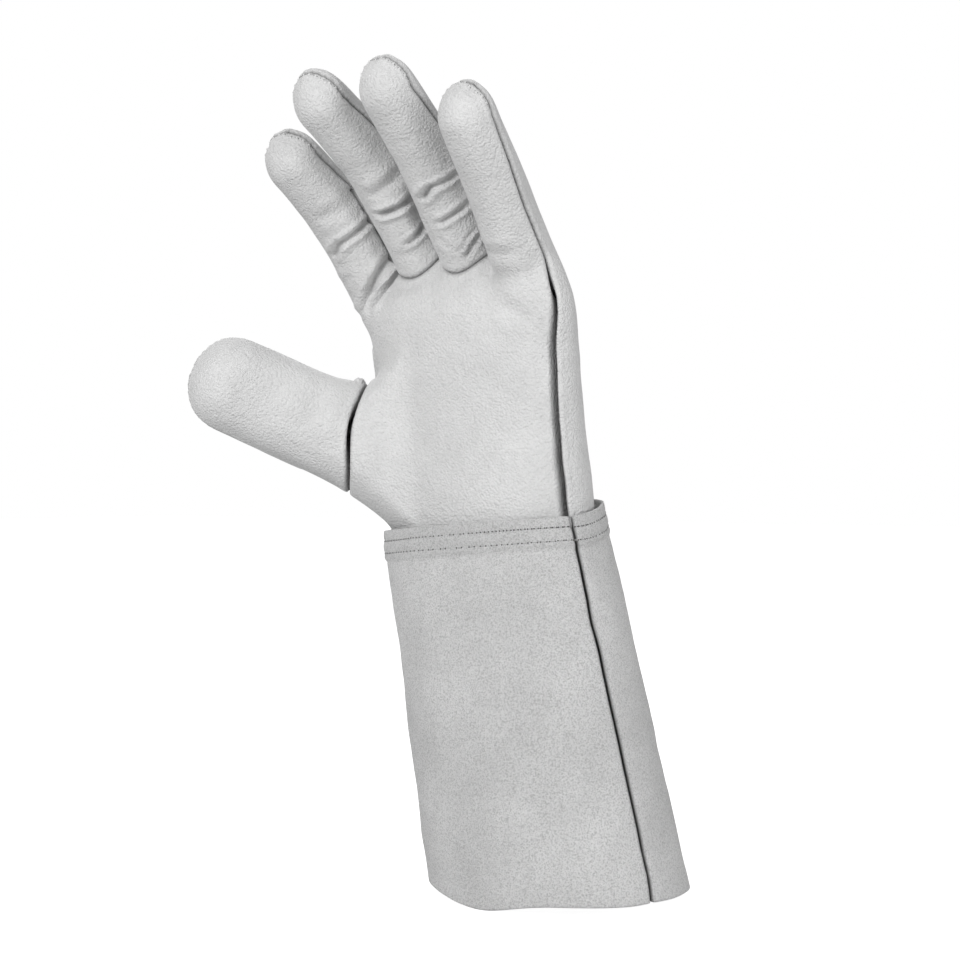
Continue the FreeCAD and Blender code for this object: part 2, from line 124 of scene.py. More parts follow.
# ---- seams and stitches ---------------------------------------------------------------------------------
# over what width the leather rolls in, how deep, half the gap, and how far the edge is turned in
Seam = namedtuple("Seam", "radius depth gap allowance")
RADIUS, DEPTH, GAP, ALLOWANCE = range(4)
SEAMS = {
    "side": Seam(2.4 * MM, 2.0 * MM, 0.70 * MM, 6.0 * MM),
    "finger_side": Seam(2.0 * MM, 1.5 * MM, 0.20 * MM, 3.0 * MM),
    "thumb_side": Seam(1.8 * MM, 0.9 * MM, 0.03 * MM, 1.0 * MM),
    "strip": Seam(1.6 * MM, 1.2 * MM, 0.05 * MM, 1.5 * MM),
    "tip": Seam(1.6 * MM, 0.8 * MM, 0.02 * MM, 0.6 * MM),
    "base": Seam(1.5 * MM, 1.0 * MM, 0.02 * MM, 1.0 * MM),
    "thumb": Seam(2.2 * MM, 1.8 * MM, 0.85 * MM, 6.0 * MM),
    "cuff": Seam(2.2 * MM, 1.6 * MM, 1.00 * MM, 4.0 * MM),
}
CORNER_REACH = 5 * MM              # about a strip's end, where less leather is turned in
SEAM_BLENDING = 30                 # rounds of averaging where one kind of seam runs into another
TIP_SEAM_RUN = 6 * MM              # how far below the tip's centre its stitched seam begins
THUMB_TIP_SEAM_RUN = 2 * MM
SEAM_SHADE_WIDTH = 0.8 * MM              # how far the painted shade reaches beside a seam
SEAM_SHADOW = 2.0 * MM             # leather turned in this far gets the full painted shade of the seam itself
FOLD_SHADE = 0.45                   # the painted shade in the deepest folds
SEAM_SWELL = 0.3 * MM              # how far the leather stands proud beside a seam
SWELL_SIZE, SWELL_HEIGHT = 26 * MM, 0.60 * MM         # low swells all over
WRINKLE_SIZE, WRINKLE_HEIGHT = 8 * MM, 0.16 * MM      # smaller wrinkles on top of them
TIP_STITCH_SHARE = 0.8             # of a tip stitch that shows between its needle holes
TIP_THREAD_RADIUS = 0.34 * MM
TIP_HOLE_RADIUS = 0.20 * MM
THUMB_THREAD_RADIUS = 0.20 * MM
CUFF_THREAD_RADIUS = 0.22 * MM
CUFF_HOLE_RADIUS = 0.34 * MM
THREAD_SUNK = 0.55                 # of its radius
PUCKER = 0.15 * MM                 # how far the leather swells and sinks between needle holes
LIP_SHARE = 0.55                   # of a crease's depth that its lips stand up
SPLIT_THICKNESS = 1.4 * MM         # of the cuff
EDGE_BULGE = 0.2                   # of the thickness, at a cut edge
SEAM_CLOSURE = 0.9                 # share of a seam's gap that is closed at the inner face
ROLL_RADIUS = 2.6 * MM             # of the nub at the top of the thumb seam
ROLL_SUNK = 1.3 * MM               # how far the nub sits into the leather

# ---- blend ranges, as distances from each joint; worked out in bend_pieces but not used -----------------
WRIST_BLEND = (3 * MM, 29 * MM)
FINGER_BLEND = (4 * MM, 15 * MM)
THUMB_BLEND = (0.5 * MM, 10 * MM)

# ---- folds and drape ------------------------------------------------------------------------------------
# stall, two ends as (across, along), depth, width; across runs from -1 at the little-finger side to 1 at
# the thumb side, and along is a share of the stall's length
CREASES = (
    ("index", ((0.35, 0.37), (-0.15, 0.44)), 1.9 * MM, 1.6 * MM),
    ("index", ((-0.15, 0.44), (-0.95, 0.45)), 2.0 * MM, 1.3 * MM),
    ("index", ((0.00, 0.67), (-0.90, 0.63)), 0.7 * MM, 2.6 * MM),
    ("index", ((0.30, -0.05), (-0.95, 0.17)), 2.6 * MM, 1.5 * MM),
    ("index", ((-0.30, -0.05), (-1.10, 0.07)), 1.7 * MM, 1.1 * MM),
    ("index", ((0.60, 0.15), (0.10, 0.20)), 0.6 * MM, 2.0 * MM),
    ("middle", ((0.15, 0.37), (-0.80, 0.36)), 2.6 * MM, 1.3 * MM),
    ("middle", ((0.00, 0.48), (-0.90, 0.50)), 1.2 * MM, 2.4 * MM),
    ("middle", ((-0.30, 0.16), (-0.90, 0.20)), 1.7 * MM, 1.1 * MM),
    ("middle", ((-0.95, 0.38), (-0.85, 0.18)), 2.2 * MM, 2.0 * MM),
    ("middle", ((0.20, 0.10), (-0.50, 0.11)), 0.7 * MM, 2.2 * MM),
    ("ring", ((0.15, 0.44), (-0.30, 0.49)), 2.6 * MM, 1.4 * MM),
    ("ring", ((-0.30, 0.49), (-0.90, 0.48)), 1.4 * MM, 1.1 * MM),
    ("ring", ((-0.05, 0.28), (-0.85, 0.31)), 1.7 * MM, 1.1 * MM),
    ("ring", ((-0.40, 0.05), (-0.85, 0.13)), 1.5 * MM, 0.8 * MM),
    ("ring", ((-0.30, 0.09), (-0.80, 0.17)), 0.7 * MM, 0.7 * MM),
    ("ring", ((0.55, 0.34), (0.45, 0.10)), 0.8 * MM, 0.9 * MM),
    ("ring", ((0.20, 0.20), (-0.20, 0.10)), 0.5 * MM, 1.2 * MM),
    ("little", ((0.60, 0.19), (-0.50, 0.18)), 0.8 * MM, 2.6 * MM),
    ("little", ((0.30, -0.10), (-0.70, -0.20)), 0.7 * MM, 2.2 * MM),
    ("thumb", ((-0.80, 0.38), (0.30, 0.42)), 0.9 * MM, 4.0 * MM),
)
# where the leather about the thumb's root bulges sideways: place (across, along), how far, reach
PUSHES = (
    ((-1.00, -0.02), -5.0 * MM, 13 * MM),
    ((0.80, -0.25), 4.2 * MM, 14 * MM),
)
HEEL = (0.80, -0.30)               # (across, along) the thumb; the root runs smoothly into the palm here
HEEL_REACH = 18 * MM
HEEL_ROUNDS = 160                  # of averaging
PALM_FALL = 2.6 * MM               # the palm falls away towards the little-finger seam
PALM_FALL_WIDTH = 14 * MM
PALM_FALL_RUN = 40 * MM            # below the little finger, over which it sets in
STITCH_GROOVE = 0.40 * MM          # how far the two rows of stitching pull the cuff in
STITCH_GROOVE_WIDTH = 0.9 * MM
BAND_TONE = 0.16                   # how much darker the cuff's doubled band is
BAND_SWELL = 0.8 * MM              # the doubled leather above the lower row stands this much proud
HEM_DROOP = 5.0 * MM               # the soft hem sags on the palm side, towards the thumb
HEM_DROOP_ANGLE = -104.0           # degrees about the cuff, where it sags most
HEM_DROOP_SPREAD = 30.0            # degrees to either side

# ---- camera and light -----------------------------------------------------------------------------------
CAMERA_TURN = 35.0                 # degrees from the palm towards the little finger
CAMERA_SHIFT = -31.4 * MM          # of the aimed point, to the camera's right of the hem's centre
CAMERA_HEIGHT = 162 * MM
CAMERA_DISTANCE = 0.8
CAMERA_LENS = 74.5                 # millimetres, over a sensor 36 mm wide
FLOOR_SIZE = 12.0                  # metres, beyond the picture on every side
WORLD_LIGHT = 0.45                 # strength of the white surroundings as a light


# ---- measuring the CAD ----------------------------------------------------------------------------------
class Probe:
    """Rays against some CAD nodes, shot from outside towards a centre."""

    def __init__(self, names):
        points, faces, self.owner = [], [], []
        for name in names:
            mesh = NODES[name].data
            first = len(points)
            points += [vertex.co.copy() for vertex in mesh.vertices]
            for polygon in mesh.polygons:
                faces.append([first + i for i in polygon.vertices])
                self.owner.append(name)
        self.tree = BVHTree.FromPolygons(points, faces)

    def hit(self, centre, direction, reach=100 * MM):
        """The outermost point towards a direction and the node it lies on."""
        place, _, face, _ = self.tree.ray_cast(centre + direction * reach, -direction, reach)
        return (place, self.owner[face]) if place else (None, None)

    def reach(self, centre, direction):
        place, _ = self.hit(centre, direction)
        return (place - centre).length if place else None


def bisect(low, high, test, steps=12):
    """The value between low and high where test turns from true to false."""
    for _ in range(steps):
        middle = (low + high) / 2
        if test(middle):
            low = middle
        else:
            high = middle
    return (low + high) / 2


def circle(count):
    """Angles in radians at even steps round a circle."""
    return [2 * math.pi * k / count for k in range(count)]


def hermite(start, leaving, end, arriving, t):
    """A curve between two points with a given heading at each of them."""
    return (start * (2 * t**3 - 3 * t**2 + 1) + leaving * (t**3 - 2 * t**2 + t)
            + end * (3 * t**2 - 2 * t**3) + arriving * (t**3 - t**2))


def long_axis(points):
    """Middle, longest direction and length of a cloud of points."""
    middle = points.mean(axis=0)
    heading = np.linalg.svd(points - middle, full_matrices=False)[2][0]
    return Vector(middle), Vector(heading), np.ptp((points - middle) @ heading)


def link(name, data):
    """A new object in the scene."""
    holder = bpy.data.objects.new(name, data)
    bpy.context.scene.collection.objects.link(holder)
    return holder


def smooth(share):
    share = np.clip(share, 0.0, 1.0)
    return share * share * (3 - 2 * share)


def mix(a, b, share):
    return a + (b - a) * share


class Stall:
    """A finger or thumb: its centreline, cross-sections and seams, measured on the CAD."""

    def __init__(self, name):
        joint = JOINTS[name]
        self.name = name
        self.base = Vector(joint["pos_m"])
        self.side = -Vector(joint["axis"]).normalized()
        leather = [node for node in MEMBERS[name] if "stitching" not in node]
        self.probe = Probe(leather)
        self.front = f"{name}_front"
        self.back = f"{name}_back"
        self.strips = [node for node in leather if "strip" in node]
        self.trace([NODES[node].data for node in leather])

    def trace(self, meshes):
        """Follows the middle of the tube from its base to the centre of its rounded tip."""
        points = np.array([v.co for mesh in meshes for v in mesh.vertices])
        centroid = Vector(points.mean(axis=0))
        chord = centroid - self.base
        chord = (chord - self.side * chord.dot(self.side)).normalized()
        start = self.centred(self.base + chord * (centroid - self.base).dot(chord), chord)
        forwards = self.march(start, chord)
        backwards = self.march(start, -chord)
        line = [self.base] + backwards[::-1] + forwards[1:]
        lengths = [0.0]
        for a, b in zip(line, line[1:]):
            lengths.append(lengths[-1] + (b - a).length)
        self.length = lengths[-1]
        weights = [5.0] + [1.0] * (len(line) - 1)
        self.curves = [np.polyfit(lengths, [p[k] for p in line], 3, w=weights) for k in range(3)]
        self.slopes = [np.polyder(curve) for curve in self.curves]

    def centred(self, point, direction):
        """The point moved to the middle between the palm side and the back, or None off the stall."""
        normal = direction.cross(self.side)
        for _ in range(2):
            up, down = self.probe.reach(point, normal), self.probe.reach(point, -normal)
            if up is None or down is None:
                return None
            point = point + normal * (up - down) / 2
        return point

    def march(self, start, direction, step=2 * MM):
        """Points along the middle of the tube from a start to where the tube closes or ends."""
        line = [start]
        while True:
            ahead = self.probe.reach(line[-1], direction)
            radius = self.probe.reach(line[-1], direction.cross(self.side))
            if ahead is not None and radius is not None and ahead <= radius + step / 2:
                return line
            following = self.centred(line[-1] + direction * step, direction)
            if following is None or len(line) > MOST_STEPS:
                return line
            turned = (following - line[-1]).normalized()
            direction = (direction * 3 + turned).normalized()
            line.append(following)

    def centre(self, s):
        inside = min(max(s, 0.0), self.length)
        point = Vector([np.polyval(curve, inside) for curve in self.curves])
        return point + self.tangent(s) * (s - inside)

    def tangent(self, s):
        inside = min(max(s, 0.0), self.length)
        return Vector([np.polyval(slope, inside) for slope in self.slopes]).normalized()

    def normal(self, s):
        return self.tangent(s).cross(self.side).normalized()

    def direction(self, s, angle):
        """Across the tube: angle 0 is the side vector, 90 the palm side."""
        a = math.radians(angle)
        return self.side * math.cos(a) + self.normal(s) * math.sin(a)

    def radius(self, s, angle):
        """Distance from the centreline to the leather; past the base edge the nearest section is used."""
        for shift in range(0, 16):
            found = []
            for turn in (-2.0, 0.0, 2.0):
                place = s + shift * MM
                reach = self.probe.reach(self.centre(place), self.direction(place, angle + turn))
                if reach is not None:
                    found.append(reach)
            if len(found) > 1:
                return sorted(found)[len(found) // 2]
        return USUAL_RADIUS

    def half_width(self):
        return self.radius(self.length * 0.4, 90)

    def point(self, s, angle):
        return self.centre(s) + self.direction(s, angle) * self.radius(s, angle)

    def owner(self, s, angle):
        return self.probe.hit(self.centre(s), self.direction(s, angle))[1]

    def seams(self, s):
        """Angles of the palm-side and back seams, on the side vector's side and on the other."""
        def edge(start, end, node):
            return bisect(start, end, lambda angle: self.owner(s, angle) == node)

        near = (edge(90, -60, self.front), edge(-90, 60, self.back))
        far = (edge(90, 240, self.front), edge(270, 120, self.back))
        return near, far

    def strip_end(self, far_side):
        """Distance along the stall where its side strip runs out."""
        angle = sum(self.seams(self.length * 0.4)[1 if far_side else 0]) / 2
        return bisect(self.length * 0.5, self.length, lambda s: self.owner(s, angle) in self.strips)

    def pole(self):
        """Direction from the tip's centre to the seam at the very tip."""
        axial, normal = self.tangent(self.length), self.normal(self.length)
        centre = self.centre(self.length)

        def on_front(turn):
            a = math.radians(turn)
            return self.probe.hit(centre, normal * math.cos(a) + axial * math.sin(a))[1] == self.front

        turn = math.radians(bisect(0, 180, on_front))
        return normal * math.cos(turn) + axial * math.sin(turn)

    def tip_point(self, direction):
        """Where a ray from the tip's centre leaves the leather."""
        centre = self.centre(self.length)
        return centre + direction * self.probe.reach(centre, direction)

    def dome_point(self, ring, angle):
        """A point of the rounded tip; ring is 0 at its rim and 90 at the pole."""
        a = math.radians(ring)
        direction = self.direction(self.length, angle) * math.cos(a) + self.pole_direction * math.sin(a)
        direction.normalize()
        centre = self.centre(self.length)
        reach = self.probe.reach(centre, direction)
        return centre + direction * (reach or self.radius(self.length, angle))


# ---- the cage -------------------------------------------------------------------------------------------
class Cage:
    """Points, faces and the panel that each face belongs to."""

    def __init__(self):
        self.points = []
        self.faces = []
        self.panels = []

    def add(self, point):
        self.points.append(Vector(point))
        return len(self.points) - 1

    def quad(self, corners, panel):
        self.faces.append(corners)
        self.panels.append(panel)

    def grow(self, low, points, panels):
        """A ring of new points, joined to the ring below by quads with one panel name each."""
        high = [self.add(point) for point in points]
        for j, panel in enumerate(panels):
            k = (j + 1) % len(low)
            self.quad((low[j], low[k], high[k], high[j]), panel)
        return high


def axis_of(probe, z, guess):
    """The middle of an upright tube's section at a height."""
    centre = Vector((guess.x, guess.y, z))
    for _ in range(3):
        for direction in (Vector((1, 0, 0)), Vector((0, 1, 0))):
            ahead, behind = probe.reach(centre, direction), probe.reach(centre, -direction)
            if ahead and behind:
                centre += direction * (ahead - behind) / 2
    return centre


def spoke(angle):
    """Level direction at an angle in degrees from +X."""
    return Vector((math.cos(math.radians(angle)), math.sin(math.radians(angle)), 0))


class Glove:
    """Builds the one cage of the hand, its fingers and its thumb."""

    def __init__(self):
        self.cage = Cage()
        self.wrist = Vector(JOINTS["hand"]["pos_m"])
        self.hand = Probe([node for node in MEMBERS["hand"] if "roll" not in node])
        self.stalls = {name: Stall(name) for name in FINGER_NAMES}
        self.thumb = Stall("thumb")
        for stall in [*self.stalls.values(), self.thumb]:
            stall.pole_direction = stall.pole()
        self.low_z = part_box("palm")[0].z
        self.measure_hand()
        self.build_rings()
        self.build_hand()
        for index, name in enumerate(FINGER_NAMES):
            self.build_finger(index, self.stalls[name])
        self.build_thumb()

    # -- finger base rings --
    def ring_angles(self, stall, s, near_open, far_open):
        """Twelve angles: the far side, five across the front, the near side, five across the back.

        The shares near_open and far_open tell how wide a side strip is there; it narrows towards its end.
        """
        (front_near, back_near), (front_far, back_far) = stall.seams(s)
        near_middle, far_middle = (front_near + back_near) / 2, (front_far + back_far) / 2
        near_half = far_half = PLAIN_HALF
        if near_open:
            near_half = mix(STRIP_END_ANGLE, (front_near - back_near) / 2, near_open)
        if far_open:
            far_half = mix(STRIP_END_ANGLE, (back_far - front_far) / 2, far_open)
        front_near, back_near = near_middle + near_half, near_middle - near_half
        front_far, back_far = far_middle - far_half, far_middle + far_half
        front = [mix(front_far, front_near, k / FINGER_COLUMNS) for k in range(FINGER_COLUMNS + 1)]
        back = [mix(back_near, back_far - 360, k / FINGER_COLUMNS) for k in range(FINGER_COLUMNS + 1)]
        return [far_middle] + front + [near_middle] + back

    def base_line(self, angle, sag):
        """How far along a finger its base seam lies: lowest in the middle of the palm side."""
        return CROTCH - sag * max(0.0, math.sin(math.radians(angle))) ** 2

    def build_rings(self):
        """The ring where each finger meets the hand; neighbours share the points between them."""
        rings = []
        for name in FINGER_NAMES:
            stall = self.stalls[name]
            angles = self.ring_angles(stall, STRIP_PROBE, name != "index", name != "little")
            sag = BASE_SAG if name in ("middle", "ring") else 0.0
            rings.append([stall.point(self.base_line(angle, sag), angle) for angle in angles])
        for left, right in zip(rings, rings[1:]):
            for a, b in ((5, 1), (6, 0), (7, 11)):
                shared = (left[a] + right[b]) / 2
                left[a] = right[b] = shared
        self.rings = rings

    # -- hand --
    def measure_hand(self):
        """The hand's middle and thumb-side seam at two heights clear of the thumb's root."""
        self.clear_low = self.low_z + CLEAR_ABOVE_EDGE
        self.clear_high = min(stall.base.z for stall in self.stalls.values()) - CLEAR_BELOW_FINGERS
        ends = (self.clear_low, self.clear_high)
        self.middles = [axis_of(self.hand, z, self.wrist) for z in ends]
        self.thumb_seam_y = [self.thumb_seam(middle).y for middle in self.middles]
        heights = np.linspace(self.clear_low, self.clear_high, 12)
        found = [self.palm_end(self.hand_axis(z), -60, 40) for z in heights]
        self.little_curve = np.polyfit(heights, found, 2)

    def palm_end(self, middle, palm_angle, back_angle):
        """The angle where the palm gives way to the back, between two angles about a middle."""
        return bisect(palm_angle, back_angle, lambda angle: self.hand.hit(middle, spoke(angle))[1] == "palm")

    def thumb_seam(self, middle):
        angle = self.palm_end(middle, 240, 150)
        return middle + spoke(angle) * self.hand.reach(middle, spoke(angle + 1))

    def height_share(self, z):
        return (z - self.clear_low) / (self.clear_high - self.clear_low)

    def hand_axis(self, z):
        return mix(*self.middles, self.height_share(z))

    def hand_point(self, z, angle):
        """The hand's leather at a height and angle, as if the thumb's root were closed over."""
        centre = self.hand_axis(z)
        direction = spoke(angle)
        share = min(max(self.height_share(z), 0.0), 1.0)
        closed = mix(*[self.clear_reach(middle, angle) for middle in self.middles], share)
        reach = self.hand.reach(centre, direction)
        at_root = direction.x < -0.3 and 0 < self.height_share(z) < 1
        if reach is None or (at_root and reach > closed + 2 * MM):
            reach = closed
        return centre + direction * reach

    def clear_reach(self, middle, angle):
        """Reach of a level ray; at the gap of a seam the ray is turned aside until it meets leather."""
        for turn in (0, 1, -1, 2, -2, 3, -3):
            reach = self.hand.reach(middle, spoke(angle + turn))
            if reach is not None:
                return reach
        return None

    def little_angle(self, z):
        """Angle of the little-finger seam, as a smooth curve through what the rays find."""
        return float(np.polyval(self.little_curve, z))

    def thumb_angle(self, z):
        """Angle of the thumb-side seam, whose depth runs straight between the clear heights."""
        goal = mix(*self.thumb_seam_y, self.height_share(z))
        return bisect(230, 150, lambda angle: self.hand_point(z, angle).y < goal)

    def section_points(self, z, low_angle, high_angle, count):
        """Points of the hand's section at even distances between two angles."""
        angles = [mix(low_angle, high_angle, k / HAND_SAMPLES) for k in range(HAND_SAMPLES + 1)]
        found = [self.hand_point(z, angle) for angle in angles]
        lengths = np.cumsum([0.0] + [(b - a).length for a, b in zip(found, found[1:])])
        places = np.array(found)
        targets = np.linspace(0, lengths[-1], count)
        return [Vector([np.interp(t, lengths, places[:, k]) for k in range(3)]) for t in targets]

    def build_hand(self):
        """Rows of points from the wrist up to the finger rings; row 0 is the lower edge."""
        top = [None] * HAND_COLUMNS
        for index, ring in enumerate(self.rings):
            first = 1 + FINGER_COLUMNS * index
            for k in range(5):
                top[first + k] = ring[1 + k]
                top[HAND_COLUMNS - first - k] = ring[11 - k]
        top[LITTLE_SEAM] = self.rings[0][0]
        top[THUMB_SEAM] = self.rings[-1][6]
        rows = []
        while len(rows) < HAND_ROWS - 2:
            z = mix(self.low_z + 0.5 * MM, self.clear_high, len(rows) / (HAND_ROWS - 3))
            little, thumb_side = self.little_angle(z), self.thumb_angle(z)
            front = self.section_points(z, little, thumb_side - 360, THUMB_SEAM + 1)
            back = self.section_points(z, thumb_side, little, THUMB_SEAM + 1)
            rows.append(front + back[1:-1])
        last, before = rows[-1], rows[-2]
        steps = HAND_ROWS - len(rows) + 1
        for i in range(1, steps):
            row = []
            for j in range(HAND_COLUMNS):
                slope = (last[j] - before[j]) * steps
                gap = top[j] - last[j]
                leaving = slope * (gap.length / max(slope.length, 1e-6))
                row.append(hermite(last[j], leaving, top[j], gap, i / steps))
            rows.append(row)
        rows.append(top)
        self.index = [[self.cage.add(point) for point in row] for row in rows]
        for i, (low, high) in enumerate(zip(self.index, self.index[1:])):
            for j in range(HAND_COLUMNS):
                if i in range(*THUMB_HOLE_ROWS) and j in range(*THUMB_HOLE_COLUMNS):
                    continue
                k = (j + 1) % HAND_COLUMNS
                panel = "palm" if j < THUMB_SEAM else "hand_back"
                self.cage.quad((low[j], low[k], high[k], high[j]), panel)

    # -- fingers --
    def build_finger(self, index, stall):
        top = self.index[-1]
        first = 1 + FINGER_COLUMNS * index
        near_strip, far_strip = stall.name != "index", stall.name != "little"
        ring = [None] + [top[first + k] for k in range(5)] + [None]
        ring += [top[HAND_COLUMNS - first - 4 + k] for k in range(5)]
        if stall.name == "little":
            ring[0] = top[LITTLE_SEAM]
        else:
            ring[0] = self.shared_middle
        if stall.name == "index":
            ring[6] = top[THUMB_SEAM]
        else:
            self.shared_middle = ring[6] = self.cage.add(self.rings[index][6])
        ends = {0: stall.strip_end(True) if far_strip else 0.0,
                6: stall.strip_end(False) if near_strip else 0.0}
        count = round((stall.length - FIRST_RING) / STALL_STEP)
        below = ring
        for i in range(count + 1):
            s = mix(FIRST_RING, stall.length, i / count)
            near_open, far_open = [smooth((ends[side] - s) / STRIP_TAPER) for side in (6, 0)]
            angles = self.ring_angles(stall, s, near_open, far_open)
            points = [stall.point(s, angle) for angle in angles]
            below = self.cage.grow(below, points, self.finger_panels(stall, s, ends))
        self.close_tip(stall, below, angles)

    def finger_panels(self, stall, s, ends):
        """Panel names of the twelve quads of a band that ends at a distance along the finger."""
        front, back = stall.front, stall.back
        far = f"{stall.name}_little_side_strip" if s < ends[0] else None
        near = f"{stall.name}_thumb_side_strip" if s < ends[6] else None
        return [far or front] + [front] * 4 + [near or front] + [near or back] + [back] * 4 + [far or back]

    def close_tip(self, stall, rim, angles):
        """Rings over the rounded tip, then quads that meet along the seam across it."""
        half = len(rim) // 2
        panels = [stall.front] * half + [stall.back] * half
        below = rim
        for ring in DOME_RINGS:
            below = self.cage.grow(below, [stall.dome_point(ring, angle) for angle in angles], panels)
        seam = []
        for k in range(1, half):
            turn = 180 * k / half
            lean = (90 - DOME_RINGS[-1]) * math.cos(math.radians(turn))
            a = math.radians(90 - abs(lean))
            side = stall.side * (-1 if lean > 0 else 1)
            direction = (side * math.cos(a) + stall.pole_direction * math.sin(a)).normalized()
            seam.append(self.cage.add(stall.tip_point(direction)))
        self.cage.quad((below[0], below[1], seam[0]), stall.front)
        self.cage.quad((below[half - 1], below[half], seam[-1]), stall.front)
        self.cage.quad((below[half], below[half + 1], seam[-1]), stall.back)
        self.cage.quad((below[-1], below[0], seam[0]), stall.back)
        for k in range(half - 2):
            self.cage.quad((below[k + 1], below[k + 2], seam[k + 1], seam[k]), stall.front)
            self.cage.quad((below[-k - 2], below[-k - 1], seam[k], seam[k + 1]), stall.back)

    # -- thumb --
    def build_thumb(self):
        """From the hole in the palm, over the root, to the thumb's tip."""
        stall = self.thumb
        self.fit_base_edge()
        low, high = THUMB_HOLE_ROWS
        near, far = THUMB_HOLE_COLUMNS
        cells = [(row, near) for row in range(low, high)]
        cells += [(high, column) for column in range(near, far)]
        cells += [(row, far) for row in range(high, low, -1)]
        cells += [(low, column) for column in range(far, near, -1)]
        corners = [0, high - low, high - low + far - near, 2 * (high - low) + far - near, len(cells)]
        plain = []
        for quarter, (a, b) in enumerate(zip(corners, corners[1:])):
            plain += [45 + 90 * quarter + 90 * k / (b - a) for k in range(b - a)]
        edge = [self.index[row][column] for row, column in cells]
        base = [stall.point(self.base_edge(angle), angle) for angle in plain]
        middle = sum((self.cage.points[i] for i in edge), Vector()) / len(edge)
        below = edge
        leave = stall.tangent(0) * ROOT_LEAVE
        for t in ROOT_STEPS:
            row = []
            for i, goal in zip(edge, base):
                start = self.cage.points[i]
                row.append(hermite(start, (middle - start).normalized() * ROOT_SWEEP, goal, leave, t))
            below = self.cage.grow(below, row, ["palm"] * len(cells))
        below = self.cage.grow(below, base, ["palm"] * len(cells))
        seam_columns = self.thumb_seam_columns(plain)
        panels = ["thumb_back" if seam_columns[1] <= k < seam_columns[0] else "thumb_front"
                  for k in range(len(plain))]
        count = round((stall.length - THUMB_COUNT_START) / STALL_STEP)
        for i in range(count + 1):
            share = i / count
            fixed = self.thumb_angles(plain, seam_columns, mix(STRIP_PROBE, stall.length, share))
            row = []
            for angle, raw in zip(fixed, plain):
                s = mix(self.base_edge(raw) + THUMB_FIRST_RING, stall.length, share)
                row.append(stall.point(s, mix(raw, angle, smooth(share * 3))))
            below = self.cage.grow(below, row, panels)
        self.close_thumb(stall, below, fixed, seam_columns, panels)

    def thumb_place(self, across, along):
        """A place on the thumb: across in half widths from its centreline, along in shares of its length."""
        stall = self.thumb
        return stall.centre(along * stall.length) + stall.side * across * stall.half_width()

    def fit_base_edge(self):
        """The palm's edge round the thumb is a slanted plane: fits its two slopes."""
        angles = range(10, 370, 20)
        found = [self.palm_edge(angle) for angle in angles]
        waves = [(math.cos(math.radians(angle)), math.sin(math.radians(angle))) for angle in angles]
        for _ in range(3):
            self.base_slopes = np.linalg.lstsq(np.array(waves), np.array(found), rcond=None)[0]
            fitted = np.array(waves) @ self.base_slopes
            found = [f if abs(f - g) < 3 * MM else g for f, g in zip(found, fitted)]

    def base_edge(self, angle):
        """Where the palm's edge round the thumb lies along the thumb, at an angle."""
        a = math.radians(angle)
        return self.base_slopes[0] * math.cos(a) + self.base_slopes[1] * math.sin(a)

    def palm_edge(self, angle):
        """Where the rays about the thumb begin to meet the palm, going down the thumb at an angle."""
        def off_palm(s):
            return self.hand.hit(self.thumb.centre(s), self.thumb.direction(s, angle), 35 * MM)[1] != "palm"

        return bisect(30 * MM, -12 * MM, off_palm, 9)

    def thumb_seam_columns(self, plain):
        near, far = self.thumb.seams(THUMB_SEAM_PROBE)
        near_angle, far_angle = sum(near) / 2 % 360, sum(far) / 2

        def nearest(goal):
            return min(range(len(plain)), key=lambda k: abs((plain[k] - goal + 180) % 360 - 180))

        return nearest(near_angle), nearest(far_angle)

    def thumb_angles(self, plain, columns, s):
        """The ring's angles, moved so that the seam columns lie on the seams at a distance."""
        near, far = self.thumb.seams(s)
        goals = {columns[0]: sum(near) / 2 % 360, columns[1]: sum(far) / 2}
        shifts = {k: (goal - plain[k] + 180) % 360 - 180 for k, goal in goals.items()}
        fixed = []
        count = len(plain)
        for k in range(count):
            following, previous = sorted(columns, key=lambda column: (column - k) % count)
            share = (following - k) % count / ((following - previous) % count)
            fixed.append(plain[k] + mix(shifts[following], shifts[previous], share))
        return fixed

    def close_thumb(self, stall, rim, angles, seam_columns, panels):
        below = rim
        for ring in THUMB_DOME_RINGS:
            below = self.cage.grow(below, [stall.dome_point(ring, angle) for angle in angles], panels)
        start, end = seam_columns[1], seam_columns[0]
        back = [below[k] for k in range(start, end + 1)]
        front = [below[k % len(below)] for k in range(start, end - len(below) - 1, -1)]
        steps = min(len(back), len(front)) - 1
        seam = []
        for k in range(1, steps):
            a, b = [self.cage.points[row[round(k / steps * (len(row) - 1))]] for row in (back, front)]
            direction = ((a + b) / 2 - stall.centre(stall.length)).normalized()
            seam.append(self.cage.add(stall.tip_point(direction)))
        for row, panel in ((back, "thumb_back"), (front, "thumb_front")):
            self.zip_rows(row, [row[0]] + seam + [row[-1]], panel)

    def zip_rows(self, long, short, panel):
        """Faces between two rows that share their ends and may differ in number."""
        i = j = 0
        while i < len(long) - 1 or j < len(short) - 1:
            step_long = (i + 1) / (len(long) - 1) if i < len(long) - 1 else math.inf
            step_short = (j + 1) / (len(short) - 1) if j < len(short) - 1 else math.inf
            corners = [long[i]]
            if step_long < step_short + 0.5 / len(short) and i < len(long) - 1:
                i += 1
                corners.append(long[i])
            if step_short < step_long + 0.5 / len(long) and j < len(short) - 1:
                corners += [short[j + 1], short[j]]
                j += 1
            else:
                corners.append(short[j])
            unique = list(dict.fromkeys(corners))
            if len(unique) > 2:
                self.cage.quad(tuple(unique), panel)


